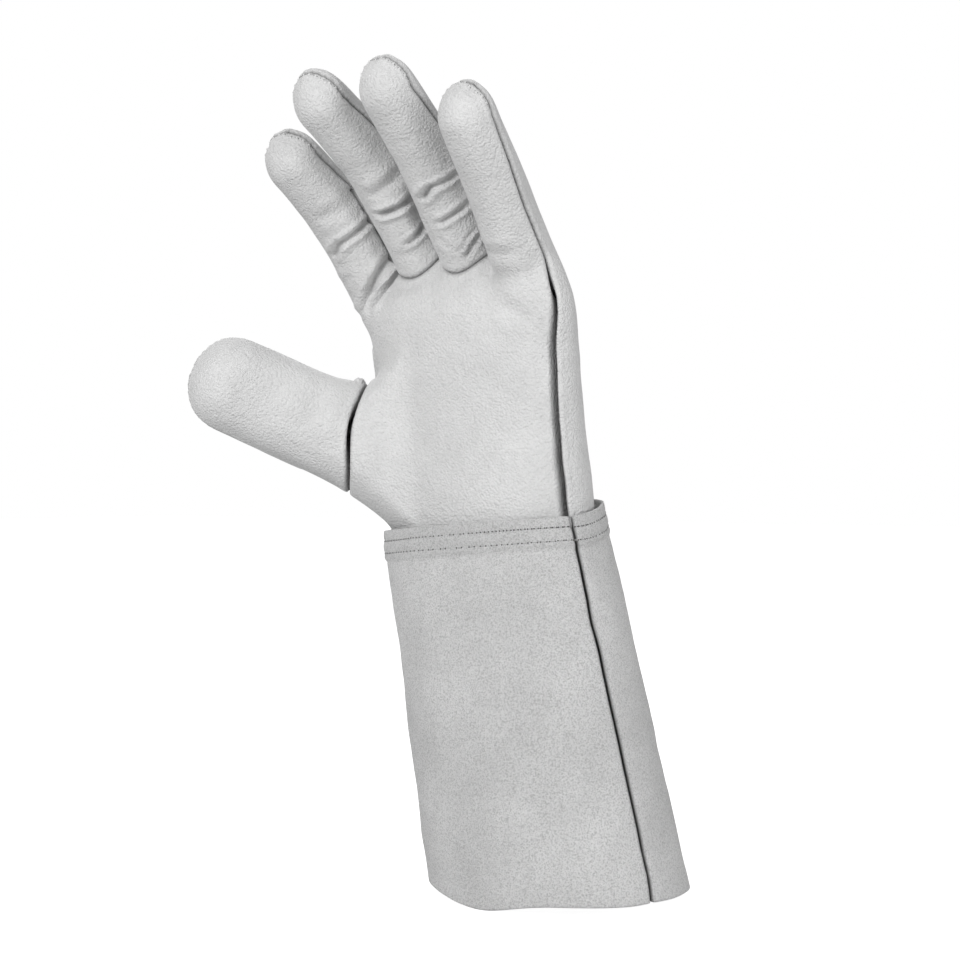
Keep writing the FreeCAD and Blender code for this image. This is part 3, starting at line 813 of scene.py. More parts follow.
# ---- the cuff's cage ------------------------------------------------------------------------------------
class Cuff:
    """Builds the cage of the cuff: two panels between the side seams, from the hem to the top edge."""

    def __init__(self):
        self.cage = Cage()
        self.probe = Probe([node for node in MEMBERS["cuff"] if "stitching" not in node])
        low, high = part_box("cuff_front")
        self.low_z, self.high_z = low.z, high.z
        guess = (low + high) / 2
        heights = (self.low_z + CUFF_CLEAR[0], self.high_z - CUFF_CLEAR[1])
        self.middles = [axis_of(self.probe, z, Vector((guess.x, 0, z))) for z in heights]
        self.build()

    def middle(self, z):
        low, high = self.middles
        return mix(low, high, (z - low.z) / (high.z - low.z))

    def point(self, z, angle):
        """A point of the outer face; the seam gaps are closed over."""
        for turn in (0, 0.7, -0.7, 1.4, -1.4):
            place, _ = self.probe.hit(self.middle(z), spoke(angle + turn))
            if place:
                return self.middle(z) + spoke(angle) * (place - self.middle(z)).length
        return None

    def top(self, angle):
        """Height of the top edge at an angle."""
        low, high = self.low_z + TOP_SEARCH[0], self.high_z + TOP_SEARCH[1]
        return bisect(low, high, lambda z: self.point(z, angle) is not None) - TOP_CLEAR

    def seam(self, z, front_angle, back_angle):
        def on_front(angle):
            return self.probe.hit(self.middle(z), spoke(angle))[1] == "cuff_front"

        return bisect(front_angle, back_angle, on_front)

    def build(self):
        panels = ["cuff_front"] * CUFF_COLUMNS + ["cuff_back"] * CUFF_COLUMNS
        for i in range(CUFF_ROWS + 1):
            share = i / CUFF_ROWS
            z = mix(self.low_z + HEM_CLEAR, self.high_z - TOP_SLANT, share)
            little, thumb_side = self.seam(z, -70, 20), self.seam(z, -110, -200)
            angles = [mix(little, thumb_side, k / CUFF_COLUMNS) for k in range(CUFF_COLUMNS)]
            angles += [mix(thumb_side, little - 360, k / CUFF_COLUMNS) for k in range(CUFF_COLUMNS)]
            heights = [mix(self.low_z + HEM_CLEAR, self.top(angle), share) for angle in angles]
            points = [self.point(height, angle) for height, angle in zip(heights, angles)]
            if i == 0:
                below = [self.cage.add(point) for point in points]
            else:
                below = self.cage.grow(below, points, panels)


# ---- smooth leather -------------------------------------------------------------------------------------
def group_of(panel):
    """Panels of one group run into each other; a seam lies wherever two groups meet."""
    if panel in ("palm", "index_front", "little_front"):
        return "front"
    if panel in ("hand_back", "index_back", "middle_back", "ring_back", "little_back"):
        return "back"
    if panel.endswith("strip"):
        finger = FINGER_NAMES.index(panel.split("_")[0])
        return f"gap_{finger if 'thumb_side' in panel else finger - 1}"
    return panel


def smoothed(cage):
    """The cage after subdivision, pulled back out so that it still meets the measured points."""
    names = sorted(set(cage.panels))
    mesh = bpy.data.meshes.new("cage")
    mesh.from_pydata(cage.points, [], cage.faces)
    attribute = mesh.attributes.new("panel", "INT", "FACE")
    attribute.data.foreach_set("value", [names.index(panel) for panel in cage.panels])
    shell = bmesh.new()
    shell.from_mesh(mesh)
    bmesh.ops.recalc_face_normals(shell, faces=shell.faces)
    shell.to_mesh(mesh)
    shell.free()
    holder = link("cage", mesh)
    modifier = holder.modifiers.new("smoothing", "SUBSURF")
    modifier.levels = SMOOTHING
    goal = np.array(cage.points)
    held = goal.copy()
    for step in range(3):
        result = holder.evaluated_get(bpy.context.evaluated_depsgraph_get()).to_mesh()
        points = np.empty(len(result.vertices) * 3)
        result.vertices.foreach_get("co", points)
        points = points.reshape(-1, 3)
        if step < 2:
            held += 0.8 * (goal - points[:len(goal)])
            mesh.vertices.foreach_set("co", held.ravel())
            mesh.update()
    faces = np.empty(len(result.polygons) * 4, dtype=int)
    result.polygons.foreach_get("vertices", faces)
    owners = np.empty(len(result.polygons), dtype=int)
    result.attributes["panel"].data.foreach_get("value", owners)
    bpy.data.objects.remove(holder)
    return points, faces.reshape(-1, 4), np.array(names)[owners]


def vertex_normals(points, faces):
    across = np.cross(points[faces[:, 2]] - points[faces[:, 0]], points[faces[:, 3]] - points[faces[:, 1]])
    total = np.zeros_like(points)
    for corner in range(4):
        np.add.at(total, faces[:, corner], across)
    return unit_rows(total)


def unit_rows(rows):
    return rows / np.maximum(np.linalg.norm(rows, axis=1), 1e-12)[:, None]


def edge_table(faces):
    """Lower end, higher end, face and ordered ends of every face's edges, with shared edges side by side."""
    ends = np.stack([faces, np.roll(faces, -1, axis=1)], axis=2).reshape(-1, 2)
    owner = np.repeat(np.arange(len(faces)), 4)
    low, high = ends.min(axis=1), ends.max(axis=1)
    order = np.lexsort((high, low))
    return low[order], high[order], owner[order], ends[order]


def kd_tree(points):
    tree = KDTree(len(points))
    for i, point in enumerate(points):
        tree.insert(point, i)
    tree.balance()
    return tree


def nearness(points, place, reach):
    """One at a place, falling to nothing beyond its reach."""
    return np.exp(-((points - np.array(place)) ** 2).sum(axis=1) / reach ** 2)


def noise_field(points, size, seed):
    """Smooth noise from -1 to 1 at many points; seed moves the pattern."""
    shift = Vector((seed, seed * 0.7, seed * 1.3))
    return np.array([noise.noise(Vector(point) / size + shift) for point in points])


class Leather:
    """Smooth sheets of leather with their seams; panels are cut from it one by one."""

    def __init__(self, cage, style):
        self.points, self.faces, self.panels = smoothed(cage)
        self.groups = np.array([group_of(panel) for panel in self.panels])
        self.normals = vertex_normals(self.points, self.faces)
        self.find_seams(style)

    def find_seams(self, style):
        """Seam edges with the two groups they part, and the seam's values at each of its points."""
        low, high, owner, _ = edge_table(self.faces)
        paired = (low[1:] == low[:-1]) & (high[1:] == high[:-1])
        one, other = self.groups[owner[1:]], self.groups[owner[:-1]]
        chosen = np.nonzero(paired & (one != other))[0]
        self.seams = [(low[i], high[i], {one[i], other[i]}) for i in chosen]
        ends = np.stack([low[chosen], high[chosen]])
        middles = self.points[ends].mean(axis=0)
        kinds = [SEAMS[style(seam[2], Vector(middle))] for seam, middle in zip(self.seams, middles)]
        self.seam_values = np.zeros((len(self.points), len(Seam._fields)))     # one column per field
        for a, b in (ends, ends[::-1]):
            self.seam_values[a] = kinds
        for _ in range(SEAM_BLENDING):
            total, count = self.seam_values.copy(), np.ones(len(self.points))
            for a, b in (ends, ends[::-1]):
                np.add.at(total, a, self.seam_values[b])
                np.add.at(count, a, 1)
            self.seam_values = total / count[:, None]
        self.ease_corners()

    def ease_corners(self):
        """Less leather is turned in where a side strip ends, as it would stick out at the corner."""
        meeting = {}
        for low, high, groups in self.seams:
            meeting.setdefault(low, set()).update(groups)
            meeting.setdefault(high, set()).update(groups)
        corners = [i for i, groups in meeting.items()
                   if len(groups) > 2 and any(group.startswith("gap") for group in groups)]
        if not corners:
            return
        tree = kd_tree(self.points[corners])
        for i in meeting:
            distance = tree.find(self.points[i])[2]
            self.seam_values[i, ALLOWANCE] *= smooth(distance / CORNER_REACH)

    def seam_distance(self):
        """For each point: distance to the nearest seam of its group, and which seam point that is."""
        self.distance = np.full(len(self.points), 1.0)
        self.nearest = np.zeros(len(self.points), dtype=int)
        for group in sorted(set(self.groups)):
            seams = [seam for seam in self.seams if group in seam[2]]
            if not seams:
                continue
            ends = [end for seam in seams for end in seam[:2]]
            tree = kd_tree(self.points[ends])
            for i in np.unique(self.faces[self.groups == group]):
                _, index, distance = tree.find(self.points[i])
                if distance < self.distance[i]:
                    self.distance[i] = distance
                    self.nearest[i] = ends[index]

    def move(self, amounts):
        """Moves every point along its normal."""
        self.points = self.points + self.normals * amounts[:, None]

    def relax(self, place, reach, rounds):
        """Evens out the shape around a place by averaging each point with its neighbours."""
        low, high, _, _ = edge_table(self.faces)
        share = nearness(self.points, place, reach)[:, None]
        share[share < 0.02] = 0.0
        near = (share[low] + share[high])[:, 0] > 0
        low, high = low[near], high[near]
        count = np.maximum(np.bincount(low, minlength=len(self.points))
                           + np.bincount(high, minlength=len(self.points)), 1)[:, None]
        for _ in range(rounds):
            total = np.zeros_like(self.points)
            np.add.at(total, low, self.points[high])
            np.add.at(total, high, self.points[low])
            self.points = mix(self.points, total / count, share)

    def roll_in(self):
        """Turns the leather inwards along its seams, on a quarter circle."""
        values = self.seam_values[self.nearest]
        radius, depth = values[:, RADIUS], values[:, DEPTH]
        share = np.clip(1 - self.distance / np.maximum(radius, 1e-9), 0.0, 1.0)
        self.move(-depth * (1 - np.sqrt(1 - share * share)))

    def sheet(self, group, thickness):
        """Points, faces, panels and normals of one group, with its edges turned in at the seams.

        With a thickness it has an inner face; without, its edges carry a narrow strip turned inwards.
        """
        chosen = self.groups == group
        used, faces = np.unique(self.faces[chosen], return_inverse=True)
        faces = faces.reshape(-1, 4)
        points, panels = self.points[used], self.panels[chosen]
        normals = vertex_normals(points, faces)
        low, high, owner, ends = edge_table(faces)
        twin = (low[1:] == low[:-1]) & (high[1:] == high[:-1])
        lone = ~(np.append(twin, False) | np.insert(twin, 0, False))
        on_seam = {frozenset(seam[:2]) for seam in self.seams}
        outwards = self.normals[used]
        into = np.zeros_like(points)
        for corner in range(4):
            np.add.at(into, faces[:, corner], points[faces].mean(axis=1) - points[faces[:, corner]])
        into -= outwards * (into * outwards).sum(axis=1)[:, None]
        into = unit_rows(into)
        border = [(owner[i], ends[i], frozenset(used[ends[i]]) in on_seam) for i in np.nonzero(lone)[0]]
        parted = np.unique([pair for _, pair, seam in border if seam])
        values = self.seam_values[used]
        points = points.copy()
        apart = np.zeros_like(points)
        apart[parted] = into[parted] * values[parted, GAP, None]
        points += apart
        if not thickness:
            return self.flanged(points, faces, panels, outwards * values[:, ALLOWANCE, None], border)
        inner = points - normals * thickness - apart * SEAM_CLOSURE
        edge = points - normals * thickness / 2 - into * thickness * EDGE_BULGE
        return self.thickened(points, faces, panels, inner, edge, border)

    def flanged(self, points, faces, panels, turned_in, border):
        """Adds a narrow strip of leather turned in along every seam."""
        added, new_points, extra_faces, extra_panels = {}, [], [], []
        for owner, (a, b), seam in border:
            if not seam:
                continue
            for end in (a, b):
                if end not in added:
                    added[end] = len(points) + len(new_points)
                    new_points.append(points[end] - turned_in[end])
            extra_faces.append((b, a, added[a], added[b]))
            extra_panels.append(panels[owner])
        points = np.vstack([points, new_points])
        faces = np.vstack([faces, extra_faces])
        return points, faces, np.append(panels, extra_panels), vertex_normals(points, faces)

    def thickened(self, points, faces, panels, inner, edge, border):
        """Adds an inner face and a rounded edge all round."""
        count = len(points)
        points = np.vstack([points, inner, edge])
        extra_faces = [row[::-1] + count for row in faces]
        extra_panels = list(panels)
        for owner, (a, b), _ in border:
            extra_faces.append((b, a, a + 2 * count, b + 2 * count))
            extra_faces.append((b + 2 * count, a + 2 * count, a + count, b + count))
            extra_panels += [panels[owner]] * 2
        faces = np.vstack([faces, extra_faces])
        return points, faces, np.append(panels, extra_panels), vertex_normals(points, faces)


# ---- what shapes the leather ----------------------------------------------------------------------------
def along_stall(stall, points):
    """For many points: distance along a stall's centreline, and the offsets to its side and palm side."""
    samples = np.linspace(0, stall.length, 80)
    centres = np.array([stall.centre(s) for s in samples])
    tangents = np.array([stall.tangent(s) for s in samples])
    normals = np.array([stall.normal(s) for s in samples])
    nearest = ((points[:, None, :] - centres[None]) ** 2).sum(axis=2).argmin(axis=1)
    offset = points - centres[nearest]
    s = samples[nearest] + (offset * tangents[nearest]).sum(axis=1)
    return s, offset @ np.array(stall.side), (offset * normals[nearest]).sum(axis=1)


def crease(across, along, ends, depth, width):
    """A groove between two ends with soft lips beside it, as a movement along the normal."""
    start, end = np.array(ends[0]), np.array(ends[1])
    run = np.linalg.norm(end - start)
    heading = (end - start) / run
    place = np.stack([across, along], axis=1) - start
    t = place @ heading / run
    aside = place @ np.array([-heading[1], heading[0]])
    fade = smooth((t + 0.25) / 0.45) * smooth((1.25 - t) / 0.45)
    groove = np.exp(-(aside / width) ** 2)
    lips = np.exp(-((np.abs(aside) - 2.2 * width) / (1.1 * width)) ** 2)
    return fade * depth * (LIP_SHARE * lips - groove)


def stall_style(glove, groups, place):
    """Name of the seam style where two groups of the hand meet."""
    if groups & {"thumb_front", "thumb_back"}:
        if "front" in groups:
            return "thumb"
        stall = glove.thumb
        s = (place - stall.centre(stall.length)).dot(stall.tangent(stall.length))
        return "tip" if s > -THUMB_TIP_SEAM_RUN else "thumb_side"
    if any(group.startswith("gap") for group in groups):
        return "strip"
    if "front" in groups and groups & {"middle_front", "ring_front"}:
        return "base"
    for stall in glove.stalls.values():
        from_tip = place - stall.centre(stall.length)
        along = from_tip.dot(stall.tangent(stall.length))
        if from_tip.length < 1.35 * stall.radius(stall.length, 90) and along > -TIP_SEAM_RUN:
            return "tip"
    return "finger_side" if place.z > glove.stalls["little"].base.z else "side"


def fold_leather(glove, leather):
    """The creases of every stall, as movements along the normal."""
    amounts = np.zeros(len(leather.points))
    for name, ends, depth, width in CREASES:
        stall = glove.thumb if name == "thumb" else glove.stalls[name]
        s, side, front = along_stall(stall, leather.points)
        half = stall.half_width()
        scale = np.array([half, stall.length])
        places = [np.array(end) * scale for end in ends]
        facing = smooth((front / half + 0.5) / 0.5) * (s < stall.length)
        if name in ("middle", "ring"):
            facing *= smooth((1.15 - np.abs(side) / half) / 0.12)
        amounts += facing * crease(side, s, places, depth, width)
    return amounts


def palm_fall(glove, leather):
    """The palm bends away towards the little-finger seam."""
    amounts = np.zeros(len(leather.points))
    little = glove.stalls["little"]
    ulnar = [seam[0] for seam in leather.seams if seam[2] == {"front", "back"}
             and leather.points[seam[0], 0] > little.base.x]
    tree = kd_tree(leather.points[ulnar])
    on_palm = np.zeros(len(amounts), dtype=bool)
    on_palm[np.unique(leather.faces[leather.groups == "front"])] = True
    for i in np.nonzero(on_palm)[0]:
        amounts[i] = -PALM_FALL * math.exp(-(tree.find(leather.points[i])[2] / PALM_FALL_WIDTH) ** 2)
    return amounts * smooth((little.base.z - leather.points[:, 2]) / PALM_FALL_RUN)


def push(glove, points):
    """Points moved by the few places where the leather bulges out of its plain shape."""
    moved = points.copy()
    for (across, along), aside, reach in PUSHES:
        near = nearness(points, glove.thumb_place(across, along), reach)
        moved += near[:, None] * np.array(glove.thumb.side * aside)
    return moved


def soft_waves(leather, strength):
    """Low swells and small wrinkles that keep the leather from looking moulded."""
    swell = noise_field(leather.points, SWELL_SIZE, 3.1) * SWELL_HEIGHT
    wrinkles = noise_field(leather.points, WRINKLE_SIZE, 9.7) * WRINKLE_HEIGHT
    return (swell + wrinkles) * strength


def seam_swell(leather):
    """The leather stands a little proud beside every seam, over the turned-in edges."""
    return SEAM_SWELL * np.exp(-((leather.distance - 2.6 * MM) / (1.1 * MM)) ** 2)


def pucker(leather, tips):
    """Leather drawn in at the needle holes and swelling between them, beside a stitched seam."""
    amounts = np.zeros(len(leather.points))
    near = np.nonzero(leather.distance < 5 * MM)[0]
    for places, _ in tips.values():
        tree = kd_tree([place for place, _, _ in places])
        for i in near:
            point = Vector(leather.points[i])
            place, index, distance = tree.find(point)
            if distance > 6 * MM:
                continue
            _, heading, pitch = places[index]
            wave = math.cos(2 * math.pi * (point - place).dot(heading) / pitch)
            amounts[i] = PUCKER * wave * math.exp(-(leather.distance[i] / (2.4 * MM)) ** 2)
    return amounts


# ---- stitches -------------------------------------------------------------------------------------------
def read_stitches(node):
    """Middle, direction and pitch of each separate stitch of a CAD node, and the stitches' length."""
    mesh = NODES[node].data
    shell = bmesh.new()
    shell.from_mesh(mesh)
    bmesh.ops.remove_doubles(shell, verts=shell.verts, dist=0.001 * MM)
    seen, found = set(), []
    for vertex in shell.verts:
        if vertex in seen:
            continue
        island, edge = {vertex}, [vertex]
        while edge:
            for joined in edge.pop().link_edges:
                for other in joined.verts:
                    if other not in island:
                        island.add(other)
                        edge.append(other)
        seen |= island
        middle, heading, length = long_axis(np.array([v.co for v in island]))
        forwards = max(heading, key=abs) > 0
        found.append((middle, heading if forwards else -heading, length))
    shell.free()
    tree = kd_tree([place for place, _, _ in found])
    pitch = float(np.median([tree.find_n(place, 2)[1][2] for place, _, _ in found]))
    length = float(np.median([length for _, _, length in found]))
    return [(place, heading, pitch) for place, heading, _ in found], length


def ring_about(shell, centre, side, other, radius, around):
    """New points round a centre."""
    arms = [side * math.cos(a) + other * math.sin(a) for a in circle(around)]
    return [shell.verts.new(centre + arm * radius) for arm in arms]


def capsule(shell, start, end, bulge, radius, material, rings=5, around=8):
    """A rounded, slightly arched thread from start to end."""
    axis = (end - start).normalized()
    up = (bulge - axis * bulge.dot(axis)).normalized()
    side = axis.cross(up)
    rows = []
    for i in range(rings):
        t = i / (rings - 1)
        swell = math.sqrt(max(0.05, 1 - (2 * t - 1) ** 4))
        centre = start.lerp(end, t) + up * radius * 0.9 * math.sin(math.pi * t)
        rows.append(ring_about(shell, centre, side, up, radius * swell, around))
    for low, high in zip(rows, rows[1:]):
        for k in range(around):
            face = shell.faces.new((low[k], low[(k + 1) % around], high[(k + 1) % around], high[k]))
            face.material_index = material
    for row in (rows[0][::-1], rows[-1]):
        shell.faces.new(row).material_index = material


def needle_hole(shell, place, normal, radius, material, around=10):
    """A small dimple where the thread enters the leather, in a near-black material painted as the shade inside the
    hole.
    """
    side = normal.orthogonal().normalized()
    other = normal.cross(side)
    ring = ring_about(shell, place + normal * 0.06 * MM, side, other, radius, around)
    middle = shell.verts.new(place + normal * 0.12 * MM)
    for k in range(around):
        shell.faces.new((ring[k], ring[(k + 1) % around], middle)).material_index = material


def sew(node, places, length, surface, body, material, thread_radius, hole_radius):
    """The visible stitches of one node, laid on the leather."""
    shell = bmesh.new()
    for place, heading, _ in places:
        ends = []
        for sign in (-0.5, 0.5):
            spot, normal, _, _ = surface.find_nearest(place + heading * length * sign)
            ends.append((spot, normal))
        (start, start_normal), (end, end_normal) = ends
        normal = (start_normal + end_normal).normalized()
        sunk = normal * thread_radius * THREAD_SUNK
        capsule(shell, start - sunk, end - sunk, normal, thread_radius, 0)
        for spot, spot_normal in ends:
            # the needle holes take the second material, painted hole shade
            needle_hole(shell, spot, spot_normal, hole_radius, 1)
    bmesh.ops.recalc_face_normals(shell, faces=shell.faces)
    piece = add_piece(node, mesh_of(shell, node), [material, NEEDLE_HOLE_SHADE])
    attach(piece, body)


# ---- pieces ---------------------------------------------------------------------------------------------
def mesh_of(shell, node):
    """A smooth mesh from a bmesh, which is used up."""
    mesh = bpy.data.meshes.new(node + "_look")
    shell.to_mesh(mesh)
    shell.free()
    mesh.shade_smooth()
    return mesh


def add_piece(node, mesh, materials):
    """The piece that is shown in place of a CAD node."""
    for material in materials:
        mesh.materials.append(material)
    piece = link(node + "_look", mesh)
    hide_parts(node)
    return piece


def cut_panel(name, sheet, material, darkening):
    """One panel as its own object; its normals are those of the whole sheet, so cut lines don't show."""
    points, faces, panels, normals = sheet
    chosen = faces[panels == name]
    used, local = np.unique(chosen, return_inverse=True)
    mesh = bpy.data.meshes.new(name + "_look")
    mesh.from_pydata(points[used].tolist(), [], local.reshape(-1, 4).tolist())
    mesh.shade_smooth()
    # the 'edge' attribute holds the share of painted shade along seams and in folds; on the cuff it also holds the
    # band's own darker tone
    attribute = mesh.attributes.new("edge", "FLOAT", "POINT")
    attribute.data.foreach_set("value", darkening(points[used]))
    mesh.normals_split_custom_set_from_vertices(normals[used].tolist())
    return add_piece(name, mesh, [material])


# ---- materials ------------------------------------------------------------------------------------------
class Nodes:
    """Short hand for building a node tree."""

    def __init__(self, name):
        self.material = bpy.data.materials.new(name)
        self.material.use_nodes = True
        self.tree = self.material.node_tree
        self.shader = self.tree.nodes["Principled BSDF"]
        self.place = self.tree.nodes.new("ShaderNodeTexCoord").outputs["Object"]

    def add(self, kind, inputs=None, **settings):
        node = self.tree.nodes.new("ShaderNode" + kind)
        for key, value in settings.items():
            setattr(node, key, value)
        for key, value in (inputs or {}).items():
            self.set(node.inputs[key], value)
        return node

    def set(self, socket, value):
        if isinstance(value, bpy.types.NodeSocket):
            self.tree.links.new(value, socket)
        else:
            socket.default_value = value

    def noise(self, scale, detail=3.0, roughness=0.6, place=None):
        inputs = {"Vector": place or self.place, "Scale": scale, "Detail": detail, "Roughness": roughness}
        return self.add("TexNoise", inputs).outputs["Fac"]

    def math(self, operation, a, b):
        return self.add("Math", {0: a, 1: b}, operation=operation).outputs[0]

    def spread(self, value, low, high, new_low=0.0, new_high=1.0):
        return self.add("MapRange", {"Value": value, "From Min": low, "From Max": high,
                                     "To Min": new_low, "To Max": new_high}).outputs[0]

    def blend(self, share, a, b):
        return self.add("Mix", {0: share, 6: a, 7: b}, data_type="RGBA").outputs[2]

    def painted_shade(self, colour, level):
        """Paints shade into a colour along the seams and in the folds, by the share stored on each point; on the
        cuff the share also holds the band's own darker tone.
        """
        edge = self.add("Attribute", attribute_name="edge").outputs["Fac"]
        return self.blend(self.math("MULTIPLY", edge, 0.80), colour, grey(level))

    def bump(self, height, distance, strength=1.0, normal=None):
        inputs = {"Height": height, "Distance": distance, "Strength": strength}
        if normal:
            inputs["Normal"] = normal
        return self.add("Bump", inputs).outputs["Normal"]

    def finish(self, **values):
        for key, value in values.items():
            self.set(self.shader.inputs[key.replace("_", " ")], value)
        return self.material


def grey(level):
    return (level, level, level, 1.0)


def grain_leather():
    """Smooth pale cowhide: fine pebbles, hair-thin wrinkles and slightly uneven colour."""
    nodes = Nodes("grain_leather")
    cells = nodes.add("TexVoronoi", {"Vector": nodes.place, "Scale": 1150.0, "Randomness": 1.0},
                      feature="SMOOTH_F1").outputs["Distance"]
    drawn_out = nodes.add("VectorMath", {0: nodes.place, 1: (1.0, 1.0, 2.2)}, operation="MULTIPLY")
    lines = nodes.noise(170.0, 5.0, 0.62, drawn_out.outputs[0])
    ridge = nodes.math("ABSOLUTE", nodes.math("SUBTRACT", lines, 0.5), 0.0)
    wrinkles = nodes.spread(ridge, 0.0, 0.06)
    patches = nodes.spread(nodes.noise(28.0, 3.0), 0.42, 0.62)
    fine = nodes.noise(3200.0, 2.0)
    crumple = nodes.noise(330.0, 3.0, 0.55)
    normal = nodes.bump(wrinkles, 0.07 * MM, nodes.spread(patches, 0.0, 1.0, 0.1, 0.8))
    normal = nodes.bump(crumple, 0.55 * MM, 0.7, normal)
    normal = nodes.bump(cells, 0.50 * MM, 1.0, normal)
    normal = nodes.bump(fine, 0.10 * MM, 0.7, normal)
    tone = nodes.spread(nodes.noise(60.0, 4.0), 0.3, 0.7)
    colour = nodes.blend(tone, grey(0.640), grey(0.720))
    pits = nodes.spread(cells, 0.20, 0.70, 0.0, 0.36)
    colour = nodes.blend(pits, colour, grey(0.52))
    # painted shade along the seams and in the folds, down to this grey
    colour = nodes.painted_shade(colour, 0.24)
    rough = nodes.spread(nodes.noise(90.0, 3.0), 0.3, 0.7, 0.52, 0.68)
    return nodes.finish(Base_Color=colour, Roughness=rough, Normal=normal, Sheen_Weight=0.12,
                        Sheen_Roughness=0.5, Specular_IOR_Level=0.35)


def split_leather():
    """Suede: short fuzzy nap, dark and light flecks, and scuffs."""
    nodes = Nodes("split_leather")
    nap = nodes.noise(1500.0, 4.0, 0.75)
    clumps = nodes.noise(420.0, 4.0, 0.7)
    cloud = nodes.spread(nodes.noise(24.0, 4.0, 0.6), 0.36, 0.64)
    flecks = nodes.spread(nodes.noise(1500.0, 3.0, 0.8), 0.46, 0.62, 0.0, 0.62)
    scuffs = nodes.spread(nodes.noise(140.0, 5.0, 0.7), 0.60, 0.72, 0.0, 0.4)
    colour = nodes.blend(cloud, grey(0.680), grey(0.810))
    colour = nodes.blend(flecks, colour, grey(0.28))
    colour = nodes.blend(scuffs, colour, grey(0.42))
    light = nodes.spread(nodes.noise(1300.0, 3.0, 0.8), 0.54, 0.68, 0.0, 0.5)
    colour = nodes.blend(light, colour, grey(0.88))
    # painted shade along the seams, and the band's own darker tone, down to this grey
    colour = nodes.painted_shade(colour, 0.12)
    normal = nodes.bump(clumps, 0.8 * MM, 0.8)
    normal = nodes.bump(nap, 0.75 * MM, 1.0, normal)
    return nodes.finish(Base_Color=colour, Roughness=0.95, Normal=normal, Sheen_Weight=0.35,
                        Sheen_Roughness=0.6, Specular_IOR_Level=0.15)


def thread(name, dark, light):
    """Twisted sewing thread."""
    nodes = Nodes(name)
    twist = nodes.add("TexWave", {"Vector": nodes.place, "Scale": 1600.0, "Distortion": 2.0},
                      bands_direction="DIAGONAL").outputs["Fac"]
    fibres = nodes.noise(4000.0, 2.0)
    normal = nodes.bump(twist, 0.12 * MM, 0.8)
    colour = nodes.blend(fibres, grey(dark), grey(light))
    return nodes.finish(Base_Color=colour, Roughness=0.75, Normal=normal, Sheen_Weight=0.2)


# painted shade: a near-black colour that stands in for the shade inside a needle hole
def needle_hole_painted_shade():
    nodes = Nodes("needle_hole")
    colour = nodes.blend(nodes.noise(2000.0), grey(0.05), grey(0.12))
    return nodes.finish(Base_Color=colour, Roughness=1.0, Specular_IOR_Level=0.1)


def floor_paint():
    """White to the camera, but throws back little more light than a real floor would."""
    nodes = Nodes("floor")
    colour = nodes.blend(nodes.noise(8.0), grey(0.50), grey(0.52))
    seen = nodes.add("LightPath").outputs["Is Camera Ray"]
    return nodes.finish(Base_Color=colour, Roughness=0.9, Emission_Color=grey(1.0),
                        Emission_Strength=nodes.spread(seen, 0.0, 1.0, 0.05, 0.95))


GRAIN = grain_leather()
SPLIT = split_leather()
TIP_THREAD = thread("tip_thread", 0.72, 0.90)
CUFF_THREAD = thread("cuff_thread", 0.38, 0.52)
NEEDLE_HOLE_SHADE = needle_hole_painted_shade()


# ---- assembly -------------------------------------------------------------------------------------------
def painted_seam_and_fold_shade(leather, folds, shadow):
    """A share of painted shade that rises to 1 along the seams and in the deepest folds, for the materials.

    Leather turned in by more than the shadow distance gets the full share.
    """
    share = np.exp(-(leather.distance / SEAM_SHADE_WIDTH) ** 2)
    share = np.maximum(share, FOLD_SHADE * smooth((-folds - 0.6 * MM) / (1.4 * MM)))
    tree = kd_tree(leather.points)

    def darkening(points):
        found = [tree.find(point) for point in points]
        # painted shade on the leather turned in at the seams, which lies in the seam's shadow
        turned_in = smooth(np.array([distance for _, _, distance in found]) / shadow)
        return np.maximum(share[[index for _, index, _ in found]], turned_in)

    return darkening


def build_glove_hand():
    glove = Glove()
    leather = Leather(glove.cage, lambda groups, place: stall_style(glove, groups, place))
    leather.seam_distance()
    tips = {node: read_stitches(node) for node in NODES if node.endswith("tip_stitching")}
    folds = fold_leather(glove, leather)
    leather.move(folds + palm_fall(glove, leather) + soft_waves(leather, 1.0)
                 + pucker(leather, tips) + seam_swell(leather))
    leather.points = push(glove, leather.points)
    leather.relax(glove.thumb_place(*HEEL), HEEL_REACH, HEEL_ROUNDS)
    leather.normals = vertex_normals(leather.points, leather.faces)
    leather.roll_in()
    # painted shade along the seams, on the turned-in edges and in the deepest folds
    darkening = painted_seam_and_fold_shade(leather, folds, SEAM_SHADOW)
    pieces = {}
    for group in sorted(set(leather.groups)):
        sheet = leather.sheet(group, 0)
        for panel in sorted(set(sheet[2])):
            pieces[panel] = cut_panel(panel, sheet, GRAIN, darkening)
    return glove, leather, pieces, tips


def bend_pieces(glove, pieces):
    """Bakes each panel's placement into its mesh; the blend ranges about each joint are worked out but not used.
    """
    for name in ("palm", "hand_back"):
        start, end = [glove.wrist + UP * height for height in WRIST_BLEND]
        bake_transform(pieces[name])
    for stall in glove.stalls.values():
        start = stall.centre(FINGER_BLEND[0])
        end = start + stall.tangent(FINGER_BLEND[0]) * (FINGER_BLEND[1] - FINGER_BLEND[0])
        for name, piece in pieces.items():
            if name.startswith(stall.name):
                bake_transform(piece)
    stall = glove.thumb
    ring = [stall.point(glove.base_edge(angle), angle) for angle in range(0, 360, 30)]
    middle = sum(ring, Vector()) / len(ring)
    heading = Vector(np.linalg.svd(np.array(ring) - np.array(middle), full_matrices=False)[2][2])
    if heading.dot(stall.tangent(0)) < 0:
        heading.negate()
    for name in ("thumb_front", "thumb_back"):
        start, end = [middle + heading * distance for distance in THUMB_BLEND]
        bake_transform(pieces[name])


